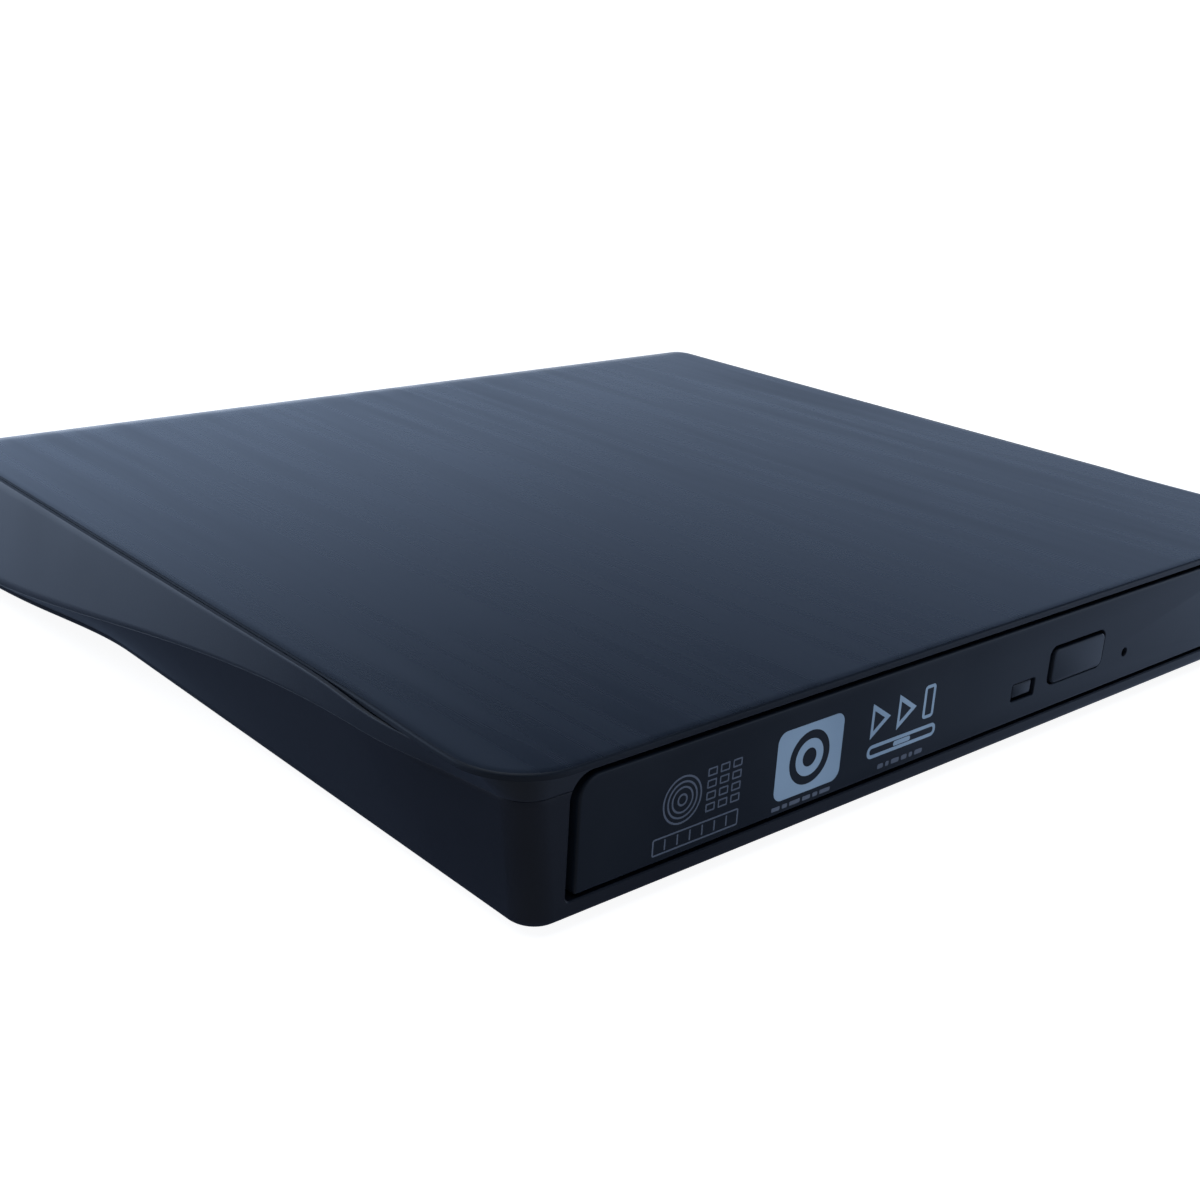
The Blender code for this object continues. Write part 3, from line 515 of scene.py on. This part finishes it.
def curled(outline, guide, depth):
    """An outline laid on the curled surface; guide gives the place of each station along it."""
    ring = []
    for (x, s), (_, along) in zip(outline, guide):
        back, height = curl(along, depth)
        ring.append((x, s if along <= CURL_START else back, height))
    return ring


def rim_height(s):
    """The rim beside the plate: flush with it along the sides, and below it at the front corners."""
    _, top = curl(s, 0.0)
    at_front = 1 - smooth((s - 18) / 14)
    at_back = smooth((s - CURL_START) / CURL_LENGTH)
    return top - 0.1 - 0.75 * at_front - 0.2 * at_back


def plate_outline(inset=0.0):
    return half_outline(
        plate_half_width, inset, front=inset - PLATE_OVERHANG, back=CASE_DEPTH - inset / 20,
        front_radius=8.0 - inset, back_radius=6.0,
    )


def at_heights(outline, heights):
    return [(x, s, h) for (x, s), h in zip(outline, heights)]


def build_top_plate():
    """The plate, with its own finish on top and the moulding's round its cut edge."""
    rings = []
    for inset, depth in [(PLATE_BORDER, 0.0), *quarter_round(PLATE_FILLET), (0.0, PLATE_THICKNESS)]:
        outline = plate_outline(inset)
        rings.append(curled(outline, outline, depth))
    obj = finished(linked("top_plate_skin", lofted(rings)), "case", "brushed_plate", ["brushed_top_plate"])
    obj.data.materials.append(PLATE_EDGE)
    level = 0.95
    for polygon in obj.data.polygons:
        polygon.material_index = int(polygon.normal.z < level and polygon.center.y < CURL_LINE)


def opening_cutter():
    """The tray's opening, with a small chamfer round its mouth."""
    levels = []
    for grow, s in ((0.15, -2.0), (0.15, 0.0), (0.0, 0.15), (0.0, 2.6)):
        half = OPENING["half_width"] + grow
        levels.append((rounded(
            -half, half, OPENING["low"] - grow, OPENING["high"] + grow,
            OPENING["low_radius"] + grow, OPENING["high_radius"] + grow,
        ), s))
    return stacked(levels, front_view)


def build_top_cover():
    """The upper half: the web under the plate, the rim beside it, and the wings down to the crease."""
    guide = plate_outline()
    along = [s for _, s in guide]
    web = half_outline(
        inner_rim_half_width, inset=0.1, front=0.45, back=CASE_DEPTH - 1.0, front_radius=5.0, back_radius=5.5
    )
    rim_in = half_outline(
        inner_rim_half_width, inset=0.0, front=0.35, back=CASE_DEPTH - 0.95, front_radius=5.1, back_radius=5.5
    )
    crease_in = half_outline(
        crease_half_width, inset=1.7, front=1.7, back=CASE_DEPTH - WEB_UNDERSIDE, front_radius=1.9,
        back_radius=6.3,
    )
    ceiling = half_outline(
        inner_rim_half_width, inset=1.2, front=1.7, back=CASE_DEPTH - WEB_UNDERSIDE, front_radius=3.8,
        back_radius=5.0,
    )

    def rim(inset, drop):
        outline = half_outline(rim_half_width, inset, inset, CASE_DEPTH - inset, 5.5 - inset, 6.4 - inset)
        return at_heights(outline, [rim_height(s) - drop for s in along])

    def crease(inset, rise):
        outline = half_outline(crease_half_width, inset, inset, CASE_DEPTH - inset, 3.6 - inset, 8.0 - inset)
        return [(x, s, crease_height(s) + SEAM / 2 + rise) for x, s in outline]

    side_top = rim(0.0, RIM_FILLET + 0.05)
    side_low = crease(0.0, CREASE_FILLET)
    rings = [
        curled(web, guide, PLATE_THICKNESS + GAP),
        at_heights(rim_in, [rim_height(s) for s in along]),
        rim(RIM_FILLET, 0.03),
        rim(RIM_FILLET * HALFWAY, 0.05 + RIM_FILLET * HALFWAY),
        side_top,
        mixed(side_top, side_low, 0.08),
        mixed(side_top, side_low, 0.5),
        mixed(side_top, side_low, 0.92),
        side_low,
        crease(CREASE_FILLET * HALFWAY, CREASE_FILLET * HALFWAY),
        crease(CREASE_FILLET, 0.0),
        [(x, s, crease_height(s) + SEAM / 2) for x, s in crease_in],
        curled(ceiling, guide, WEB_UNDERSIDE),
    ]
    obj = linked("top_cover_skin", lofted(rings))
    cut(obj, opening_cutter(), *port_cutters())
    finished(obj, "case", "case_plastic", ["top_cover"], COVER_PLASTIC)


def port_cutters():
    """The windows round the two rear connectors, each with a chamfered mouth."""
    (x0, x1), _, (h0, h1) = case_box("usb_port_shell")
    jack_x, _, jack_h = middle_of("dc_power_jack_pin")
    jack_radius, chamfer, start = 2.3, 0.3, 138.0
    window, round_window = [], []
    for grow, s in (
        (0.0, start), (0.0, CASE_DEPTH - chamfer), (chamfer, CASE_DEPTH), (chamfer, CASE_DEPTH + 2),
    ):
        wide = GAP + grow
        window.append((rounded(x0 - wide, x1 + wide, h0 - wide, h1 + wide, 0.6 + grow), s))
        round_window.append((circle(jack_x, jack_h, jack_radius + grow), s))
    return stacked(window, front_view), stacked(round_window, front_view)


def build_bottom_shell():
    """The lower half: the floor with its rounded edge, and the undercut walls up to the crease."""
    rings = []
    for inset, height in quarter_round(BASE_FILLET, 6):
        outline = half_outline(
            base_half_width, inset, inset, CASE_DEPTH - inset, 3.3 - inset, 8.0 - inset
        )
        rings.append([(x, s, height) for x, s in outline])

    def lip(inset, drop):
        outline = half_outline(
            crease_half_width, inset + 0.1, inset, CASE_DEPTH - 0.1 - inset, 3.5 - inset, 7.9 - inset
        )
        return [(x, s, crease_height(s) - SEAM / 2 - drop) for x, s in outline]

    back = CASE_DEPTH - WALL - 0.2
    wall_in = half_outline(crease_half_width, WALL + 0.2, WALL, back, front_radius=1.7, back_radius=6.1)
    floor = half_outline(base_half_width, WALL, WALL, back, front_radius=1.5, back_radius=6.2)
    base, top = rings[-1], lip(0.0, CREASE_FILLET)
    rings += [
        mixed(base, top, 0.06),
        mixed(base, top, 0.5),
        mixed(base, top, 0.94),
        top,
        lip(CREASE_FILLET * HALFWAY, CREASE_FILLET * HALFWAY),
        lip(CREASE_FILLET, 0.0),
        [(x, s, crease_height(s) - SEAM / 2) for x, s in wall_in],
        [(x, s, FLOOR) for x, s in floor],
    ]
    obj = linked("bottom_case_skin", lofted(rings))
    tools = [opening_cutter()]
    foot_pocket = [(0, -1), (5.6, -1), (5.6, 0), (5.3, 0.25), (5.3, 0.65), (0, 0.65)]
    screw_well = [
        (0, -1), (2.2, -1), (2.2, 0), (2.0, 0.2), (2.0, 1.1), (0.95, 1.1), (0.95, 3.0), (0, 3.0)
    ]
    for corner in CORNERS:
        x, s, _ = middle_of(f"rubber_foot_{corner}")
        tools.append(turned(foot_pocket, x, s))
        x, s, _ = middle_of(f"case_screw_{corner}")
        tools.append(turned(screw_well, x, s, 40))
    cut(obj, *tools)
    finished(obj, "case", "case_plastic", ["bottom_case"])


# --- the front -----------------------------------------------------------------------------------


def build_bezel():
    """The tray's front, hollow behind its face, with holes for the button, the lamp and the release."""
    half = BEZEL["half_width"]
    thick, face = 3.0, 1.8

    def outline(inset):
        return rounded(
            inset - half, half - inset, BEZEL["low"] + inset, BEZEL["high"] - inset,
            max(BEZEL["low_radius"] - inset, 0.05), BEZEL["high_radius"] - inset,
        )

    levels = [(outline(inset), depth) for inset, depth in quarter_round(BEZEL_FILLET)]
    levels.append((outline(0.0), thick))
    obj = linked("bezel_skin", stacked(levels, front_view))

    (x0, x1), _, (h0, h1) = case_box("eject_button")
    (l0, l1), _, (m0, m1) = case_box("led_window")
    button, lamp, release = [], [], []
    for grow, s in ((0.1, -2.0), (0.1, 0.0), (0.0, 0.1), (0.0, 5.0)):
        wide = GAP + grow
        button.append((rounded(x0 - wide, x1 + wide, h0 - wide, h1 + wide, 1.2 + grow), s))
        release.append((circle(*RELEASE_HOLE, 0.6 + grow / 2, 32), s))
        lamp.append((rounded(l0 - wide, l1 + wide, m0 - wide, m1 + wide, 0.25 + grow), s))
    pocket = prism(rectangle(-63.6, 63.6, 3.6, 14.3), face, 5.0, front_view)
    cut(obj, pocket, stacked(button, front_view), stacked(lamp, front_view), stacked(release, front_view))
    finished(obj, "tray", "bezel_plastic", ["tray_bezel"])


def build_button():
    """The button's cap, which fills its hole a little more closely than in the CAD model, and its stem."""
    (x0, x1), _, (h0, h1) = case_box("eject_button")
    x0, x1, h0, h1 = x0 + 0.3, x1 + 0.16, h0 - 0.16, h1 - 0.12
    front, back, radius = -0.15, 2.4, 0.95
    levels = [
        (rounded(x0 + inset, x1 - inset, h0 + inset, h1 - inset, radius - inset), front + depth)
        for inset, depth in quarter_round(0.25)
    ]
    levels.append((rounded(x0, x1, h0, h1, radius), back))
    obj = linked("eject_button_skin", stacked(levels, front_view))
    stem = prism(rounded(17.0, 20.5, 6.5, 8.1, 0.3), back - 0.2, 5.9, front_view)
    fuse(obj, stem)
    finished(obj, "eject_button", "bezel_plastic", ["eject_button"])


def build_lamp():
    """The light pipe, set back behind the bezel's face."""
    (x0, x1), _, (h0, h1) = case_box("led_window")
    x0, x1, h0, h1 = x0 - 0.25, x1 - 0.45, h0 + 0.2, h1 + 0.25
    levels = []
    for inset, s in ((0.2, 0.06), (0.06, 0.1), (0.0, 0.25), (0.0, 2.6)):
        levels.append((rounded(x0 + inset, x1 - inset, h0 + inset, h1 - inset, 0.3 - inset), s))
    obj = linked("led_window_skin", stacked(levels, front_view))
    finished(obj, "tray", "light_pipe", ["led_window"])


# --- printed marks -------------------------------------------------------------------------------

INK_FRONT = -0.012
INK_BACK = 0.03
SMALL_STEPS = 4  # in a quarter round of a dash or a divider


def inked(name, shapes, paint, cutters=()):
    """One printed mark, made of thin flat shapes on the bezel's face."""
    bm = bmesh.new()
    for shape in shapes:
        mesh = bpy.data.meshes.new(name)
        shape.to_mesh(mesh)
        shape.free()
        bm.from_mesh(mesh)
        bpy.data.meshes.remove(mesh)
    obj = linked(name, bm)
    if cutters:
        cut(obj, *cutters)
    finished(obj, "tray", "bezel_plastic", (), paint)


def filled(outline):
    return prism(outline, INK_FRONT, INK_BACK, front_view)


def band(outer, inner, front=INK_FRONT, back=INK_BACK):
    """A closed band between two outlines with the same number of points."""
    bm = bmesh.new()
    loops = [
        [bm.verts.new(front_view(x, h, s)) for x, h in outline]
        for outline, s in ((outer, front), (inner, front), (inner, back), (outer, back))
    ]
    bridge(bm, loops + loops[:1])
    return bm


def frame_line(x0, x1, h0, h1, radius, width):
    """A line of this width round the inside of a rounded rectangle."""
    return band(
        rounded(x0, x1, h0, h1, radius, steps=6),
        rounded(x0 + width, x1 - width, h0 + width, h1 - width, max(radius - width, 0.02), steps=6),
    )


def dashes(x0, x1, h0, h1, lengths, space):
    """A row of short bars whose lengths repeat."""
    made, x, number = [], x0, 0
    while x + lengths[number % len(lengths)] <= x1:
        end = x + lengths[number % len(lengths)]
        made.append(filled(rounded(x, end, h0, h1, (h1 - h0) * 0.3, steps=SMALL_STEPS)))
        x, number = end + space, number + 1
    return made


def triangle(x, h, size):
    """An arrowhead that points to the right."""
    return [(x, h - size), (x + size * 1.5, h), (x, h + size)]


def build_disc_mark():
    """Thin rings beside a grid of cells, above a ruled strip: a plain sign for a disc and what it holds."""
    x, h, half_line = -50.6, 8.9, 0.11
    shapes = [
        band(circle(x, h, radius + half_line), circle(x, h, radius - half_line))
        for radius in (2.6, 2.0, 1.4, 0.6)
    ]
    rows, columns, cell_width, cell_height = 4, 3, 1.35, 0.95
    for row in range(rows):
        for column in range(columns):
            left, low = -47.2 + 1.8 * column, 6.4 + 1.35 * row
            shapes.append(frame_line(left, left + cell_width, low, low + cell_height, 0.12, 0.18))
    strip_left, strip_right, spaces = -54.4, -42.2, 7
    shapes.append(frame_line(strip_left, strip_right, 3.5, 5.5, 0.3, 0.2))
    for number in range(1, spaces):
        x = strip_left + (strip_right - strip_left) * number / spaces
        shapes.append(filled(rounded(x - 0.1, x + 0.1, 3.9, 5.1, 0.05, steps=SMALL_STEPS)))
    inked("disc_mark", shapes, DIM_INK)


def build_tile_mark():
    """A filled tile with a ring and a dot left open in it, above a row of dashes."""
    x, h = -31.65, 8.4
    dot = prism(circle(x, h, 1.1), -1, 1, front_view)
    ring = band(circle(x, h, 3.2), circle(x, h, 2.2), -1, 1)
    inked("tile_mark", [filled(rounded(-36.9, -26.4, 4.3, 12.5, 1.3))], PALE_INK, (dot, ring))
    inked("tile_mark_dashes", dashes(-37.0, -26.2, 3.25, 3.75, (1.3, 0.8, 1.7), 0.35), DIM_INK)


def build_arrows_mark():
    """Two outlined arrowheads and a bar over a rounded strip, above a row of dashes."""
    shapes = [band(triangle(x, 9.9, 2.2), triangle(x + 0.42, 9.9, 1.25)) for x in (-21.6, -17.0)]
    shapes.append(frame_line(-12.4, -10.4, 7.8, 12.0, 0.5, 0.42))
    shapes.append(frame_line(-21.8, -9.6, 5.2, 6.9, 0.8, 0.45))
    shapes.append(filled(rounded(-17.2, -14.2, 5.75, 6.35, 0.25, steps=SMALL_STEPS)))
    inked("arrows_mark", shapes, PALE_INK)
    inked("arrows_mark_dashes", dashes(-19.6, -11.6, 3.5, 4.1, (1.0, 0.6, 1.4), 0.4), DIM_INK)


# --- feet and screws -----------------------------------------------------------------------------


def build_foot(corner):
    """A round rubber pad with a dimple in the middle."""
    name = f"rubber_foot_{corner}"
    x, s, _ = middle_of(name)
    _, _, (low, high) = case_box(name)
    radius = 5.0
    profile = [(0, low + 0.25), (1.7, low + 0.25), (1.9, low + 0.05), (2.05, low)]
    profile += [(radius - inset, low + rise) for inset, rise in quarter_round(0.6, 6)]
    profile += [(radius, high), (0, high)]
    finished(linked(f"{name}_skin", turned(profile, x, s, 72)), "case", "foot_rubber", [name])


def build_case_screw(corner):
    """A screw seen from below: a low round-edged head with a cross recess, on a plain shank."""
    name = f"case_screw_{corner}"
    x, s, _ = middle_of(name)
    profile = [
        (0, 0.2), (1.3, 0.2), (1.52, 0.26), (1.66, 0.4), (1.7, 0.55), (1.7, 0.8), (0.65, 0.8), (0.65, 8.0),
        (0, 8.5),
    ]
    obj = linked(f"{name}_skin", turned(profile, x, s, 40))
    recess = 0.62
    cut(obj, *(
        prism(rectangle(x - across, x + across, s - along, s + along), 0.0, recess)
        for across, along in ((0.95, 0.2), (0.2, 0.95))
    ))
    finished(obj, "case", "bright_steel", [name])


# --- the tray and what it carries ----------------------------------------------------------------


def build_tray():
    """The tray with its disc well, the shallow seat for small discs and the opening for the pickup."""
    top, floor_top, floor_low, wall_low = 11.2, 9.7, 8.5, 4.5
    front, back = 3.3, 125.5
    right = [
        (62.2, top), (62.5, top - 0.3), (62.5, 9.0), (59.7, 9.0), (59.7, 7.0), (61.2, 7.0), (61.2, 5.6),
        (59.7, 5.6), (59.7, wall_low), (57.9, wall_low), (57.9, floor_low),
    ]
    section = right + [(-a, b) for a, b in reversed(right)]
    obj = linked("tray_skin", prism(section, front, 118.0, front_view))
    web_top = floor_low + 0.3
    rear = prism(rounded(-62.5, 62.5, 110.0, back, 0.2, 3.0), 9.0, top)
    webs = ((-58.5, 58.5, front, 4.9), (-58.5, 47.6, 96.0, 97.5), (46.5, 47.7, 28.0, 97.0))
    fuse(obj, rear, *(prism(rectangle(*sides), wall_low, web_top) for sides in webs))
    well = [
        (0, floor_top - 0.45), (39.6, floor_top - 0.45), (39.9, floor_top - 0.38), (40.4, floor_top - 0.05),
        (40.6, floor_top), (60.0, floor_top), (60.5, floor_top + 0.12), (60.7, floor_top + 0.4),
        (60.8, top - 0.35), (60.88, top - 0.1), (61.1, top), (61.1, top + 2), (0, top + 2),
    ]
    below, above = 8.0, 12.0
    around_hub = [(0, below), (17.0, below), (17.0, above), (0, above)]
    cut(
        obj,
        turned(well, 0, SPINDLE_S, 180),
        prism(rectangle(-17.0, 63.5, -15.0, 15.0), below, above, traverse),
        turned(around_hub, 0, SPINDLE_S, 96),
        prism(rectangle(15.5, 32.0, 1.0, 6.0), 5.2, 8.3),
    )
    post = [(0, 4.9), (1.2, 4.9), (1.2, web_top), (0, web_top)]
    dampers = ((-18.5, -14.5), (-18.5, 14.5), (40, 21.3))
    fuse(obj, *(turned(post, *on_traverse(u, v), 24) for u, v in dampers))
    finished(obj, "tray", "tray_plastic", ["tray"])


def hub_slot(degrees):
    """A cutter for one claw's slot, which leaves the spindle at this angle."""
    turn = math.radians(degrees)

    def upright(out, h, across):
        x = out * math.cos(turn) - across * math.sin(turn)
        return plan(x, SPINDLE_S + out * math.sin(turn) + across * math.cos(turn), h)

    return prism(rectangle(3.9, 8.0, 10.8, 13.0), -1.5, 1.5, upright)


def build_turntable():
    """The hub that carries the disc, with a friction ring on its seat."""
    seat = 10.5
    profile = [
        (0, 11.9), (2.2, 11.9), (2.5, 12.2), (6.6, 12.2), (6.9, 12.15), (7.15, 12.0), (7.3, 11.75),
        (7.3, seat), (12.8, seat), (13.0, seat - 0.2), (13.0, 9.7), (12.3, 9.5), (12.3, 5.6), (11.4, 5.6),
        (11.4, 8.9), (0.8, 8.9), (0.8, 5.3), (0, 5.3),
    ]
    obj = linked("turntable_skin", turned(profile, 0, SPINDLE_S, 96))
    cut(obj, *(hub_slot(degrees) for degrees in (90, 210, 330)))
    finished(obj, "turntable", "black_moulding", ["turntable"])
    ring = [(9.2, seat), (9.35, seat + 0.1), (12.3, seat + 0.1), (12.45, seat)]
    bm = turned(ring + [(12.45, seat - 0.05), (9.2, seat - 0.05), (9.2, seat)], 0, SPINDLE_S, 96)
    finished(linked("turntable_friction_ring", bm), "turntable", "foot_rubber")


def build_lead_screw():
    """The feed screw: a rounded thread whose pitch is the pickup's travel in one turn."""
    per_metre = next(
        coupling["ratio"] for coupling in frame["record"]["behaviour"]["couplings"]
        if coupling["joint"] == "lead_screw_turn"
    )
    start, end, v, centre, radius, depth = 20.8, 63.8, -20.1, 6.3, 0.85, 0.28
    around, steps, run_out = 20, 516, 1.5
    rings = []
    for step in range(steps + 1):
        u = start + (end - start) * step / steps
        fade = min((u - start) / run_out, (end - u) / run_out, 1.0)
        ring = []
        for i in range(around):
            angle = 2 * math.pi * i / around
            wave = 0.5 - 0.5 * math.cos(angle + per_metre * MM * u)
            reach = radius - depth * fade * smooth(wave)
            ring.append(traverse(u, v + reach * math.cos(angle), centre + reach * math.sin(angle)))
        rings.append(ring)
    obj = linked("lead_screw_skin", solid(rings))
    finished(obj, "lead_screw", "bright_steel", ["lead_screw"], degrees=60)


def build_lens():
    """The objective: a low dome with a flat rim."""
    x, s, _ = middle_of("objective_lens")
    radius, rim_top, rise = 1.6, 8.7, 0.4
    profile = [(0, 7.9), (2.0, 7.9), (2.0, 8.6), (1.9, 8.68), (radius, rim_top)]
    for degrees in range(0, 91, 10):
        turn = math.radians(degrees)
        profile.append((radius * math.cos(turn), rim_top + rise * math.sin(turn)))
    obj = linked("objective_lens_skin", turned(profile, x, s, 48))
    finished(obj, "lens", "lens_glass", ["objective_lens"])


# --- everything else -----------------------------------------------------------------------------


ROUNDED_EDGE = 0.12
FLAT_ANGLE = math.radians(1)
EDGE_ANGLE = math.radians(40)


def refine(name, body, slot):
    """A CAD node's own shape with its flat faces whole again and its edges rounded."""
    bm = bmesh.new()
    bm.from_mesh(frame["nodes"][name].data)
    bmesh.ops.remove_doubles(bm, verts=bm.verts, dist=WELD)
    bmesh.ops.dissolve_limit(
        bm, angle_limit=FLAT_ANGLE, use_dissolve_boundaries=False, verts=bm.verts, edges=bm.edges
    )
    obj = linked(f"{name}_skin", bm)
    modifier = obj.modifiers.new("rounded_edges", "BEVEL")
    modifier.width = ROUNDED_EDGE * MM
    modifier.segments = 2
    modifier.limit_method = "ANGLE"
    modifier.angle_limit = EDGE_ANGLE
    modifier.use_clamp_overlap = True
    apply_modifiers(obj)
    finished(obj, body, slot, [name], degrees=50)


def refine_the_rest():
    """Every node that no piece stands for yet gets a refined one."""
    done = {name for obj in bpy.data.objects for name in obj.get("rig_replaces", [])}
    slots = {part["node"]: part["material_slot"] for part in frame["record"]["subparts"]}
    for body, names in frame["record"]["behaviour"]["bodies"].items():
        for name in names:
            if name not in done:
                refine(name, body, slots[name])


# --- camera and light ----------------------------------------------------------------------------

CAMERA_PLACE = (-0.15492, -0.17188, 0.08464)  # metres
CAMERA_TURNS = (42.083, 20.316, 3.336)  # degrees to the right, downwards, and of roll
CAMERA_LENS = 48.59  # on a sensor 36 mm wide
STAGE_RADIUS = 6.0  # metres


def build_camera():
    """The photo's viewpoint: from the front left, above the case, with a slight roll."""
    heading, pitch, roll = (math.radians(degrees) for degrees in CAMERA_TURNS)
    forward = Vector((
        math.sin(heading) * math.cos(pitch), math.cos(heading) * math.cos(pitch), -math.sin(pitch)
    ))
    level = Vector((math.cos(heading), -math.sin(heading), 0))
    upright = level.cross(forward)
    right = level * math.cos(roll) + upright * math.sin(roll)
    up = upright * math.cos(roll) - level * math.sin(roll)
    data = bpy.data.cameras.new("camera")
    data.sensor_width = 36
    data.lens = CAMERA_LENS
    data.clip_start = 0.01
    data.clip_end = 10 * STAGE_RADIUS
    camera = bpy.data.objects.new("camera", data)
    bpy.context.scene.collection.objects.link(camera)
    place = Matrix((right, up, -forward)).transposed().to_4x4()
    place.translation = CAMERA_PLACE
    camera.matrix_world = place
    bpy.context.scene.camera = camera


def glowing(name, grey, strength):
    """A matt sheet that also gives an even white light of its own."""
    made = principled(name, (grey, grey, grey), 0.9, Specular_IOR_Level=0.0)
    inputs = made.node_tree.nodes["Principled BSDF"].inputs
    inputs["Emission Color"].default_value = (1, 1, 1, 1)
    inputs["Emission Strength"].default_value = strength
    return made


def build_floor():
    """A pale, evenly glowing sheet, as a lightbox has. Reflections look past it into the room."""
    bm = bmesh.new()
    bmesh.ops.create_circle(bm, cap_ends=True, segments=96, radius=STAGE_RADIUS)
    obj = linked("floor", bm)
    obj.data.materials.append(glowing("floor_sheet", grey=0.5, strength=0.92))
    obj.visible_glossy = False


def build_backdrop():
    """A plain dome behind everything, which only the camera sees."""
    bm = bmesh.new()
    bmesh.ops.create_uvsphere(bm, u_segments=48, v_segments=24, radius=STAGE_RADIUS)
    obj = linked("backdrop", bm)
    obj.data.materials.append(glowing("backdrop_paper", grey=0.5, strength=1.05))
    for kind in ("diffuse", "glossy", "transmission", "volume_scatter", "shadow"):
        setattr(obj, f"visible_{kind}", False)


# The room's brightness by the sine of the height above the horizon.
ROOM = [
    (-1.0, (0.04, 0.05, 0.09)),
    (-0.50, (0.04, 0.06, 0.10)),
    (-0.35, (0.06, 0.08, 0.14)),
    (-0.26, (0.11, 0.15, 0.25)),
    (-0.15, (0.26, 0.34, 0.52)),
    (-0.06, (0.56, 0.70, 0.94)),
    (-0.005, (1.05, 1.08, 1.12)),
    (0.035, (1.05, 1.08, 1.12)),
    (0.10, (0.58, 0.75, 1.04)),
    (0.20, (0.41, 0.56, 0.84)),
    (0.30, (0.20, 0.28, 0.45)),
    (0.42, (0.02, 0.03, 0.05)),
    (0.64, (0.02, 0.03, 0.05)),
    (0.78, (0.16, 0.20, 0.28)),
    (1.0, (0.34, 0.41, 0.54)),
]
# Soft windows: heading, height, inner and outer angle from its centre, and its light.
WINDOWS = [
    (-26, 10, 6, 31, (0.77, 1.01, 1.40)),
    (12, -4, 8, 38, (0.27, 0.36, 0.52)),
    (92, -10, 10, 37, (0.53, 0.67, 0.93)),
]
# The room's dark side, given the same way, with the share of the light that it takes away.
DARK_SIDE = (222, 0, 25, 70, 0.95)


def lobe(room, direction, heading, height, inner, outer, outside, inside):
    """A value that goes softly from outside to inside round one direction of the room."""
    heading, height = math.radians(heading), math.radians(height)
    facing = node(room, "ShaderNodeVectorMath", {0: direction}, operation="DOT_PRODUCT")
    facing.inputs[1].default_value = (
        math.sin(heading) * math.cos(height), math.cos(heading) * math.cos(height), math.sin(height)
    )
    share = node(room, "ShaderNodeMapRange", {"Value": facing.outputs["Value"]})
    share.interpolation_type = "SMOOTHSTEP"
    share.inputs["From Min"].default_value = math.cos(math.radians(outer))
    share.inputs["From Max"].default_value = math.cos(math.radians(inner))
    share.inputs["To Min"].default_value = outside
    share.inputs["To Max"].default_value = inside
    return share.outputs["Result"]


def add_vectors(room, first, second):
    return node(room, "ShaderNodeVectorMath", {0: first, 1: second}, operation="ADD").outputs["Vector"]


def room_light(room, direction):
    """The light from each direction of the room by its height alone."""
    z = node(room, "ShaderNodeSeparateXYZ", {"Vector": direction}).outputs["Z"]
    ramp = node(room, "ShaderNodeValToRGB", {"Fac": ranged(room, z, 0.0, 1.0, start=-1.0, end=1.0)})
    elements = ramp.color_ramp.elements
    while len(elements) < len(ROOM):
        elements.new(0.5)
    for element, (sine, color) in zip(elements, ROOM):
        element.position = (1 + sine) / 2
        element.color = (*color, 1)
    return ramp.outputs["Color"]


def build_overhead_light():
    """One broad soft light from above."""
    data = bpy.data.lights.new("overhead", "SUN")
    data.energy = 1.1
    data.angle = math.radians(70)
    data.color = (0.88, 0.95, 1.0)
    sun = bpy.data.objects.new("overhead", data)
    bpy.context.scene.collection.objects.link(sun)
    sun.rotation_euler = (math.radians(-8), math.radians(-10), 0)


def build_room():
    """What the object reflects: a bright horizon, three soft windows and a dark side."""
    room = bpy.data.worlds.new("room")
    bpy.context.scene.world = room
    room.use_nodes = True
    direction = node(room, "ShaderNodeTexCoord").outputs["Generated"]
    light = room_light(room, direction)
    for *place, color in WINDOWS:
        share = lobe(room, direction, *place, outside=0.0, inside=1.0)
        window = node(room, "ShaderNodeVectorMath", {3: share}, operation="SCALE")
        window.inputs[0].default_value = color
        light = add_vectors(room, light, window.outputs["Vector"])
    *place, taken = DARK_SIDE
    kept = lobe(room, direction, *place, outside=1.0, inside=1.0 - taken)
    light = node(room, "ShaderNodeVectorMath", {0: light, 3: kept}, operation="SCALE").outputs["Vector"]
    room.node_tree.links.new(light, room.node_tree.nodes["Background"].inputs["Color"])
    bpy.context.scene.view_settings.view_transform = "Standard"


def paint_cad_nodes():
    """Gives the CAD nodes the same materials, for the views that show them."""
    for part in frame["record"]["subparts"]:
        obj = frame["nodes"][part["node"]]
        obj.material_slots[0].material = PAINTS[part["material_slot"]]


build_camera()
build_floor()
build_backdrop()
build_overhead_light()
build_room()
paint_cad_nodes()
build_top_plate()
build_top_cover()
build_bottom_shell()
build_bezel()
build_button()
build_lamp()
build_disc_mark()
build_tile_mark()
build_arrows_mark()
for corner in CORNERS:
    build_foot(corner)
    build_case_screw(corner)
build_tray()
build_turntable()
build_lead_screw()
build_lens()
refine_the_rest()
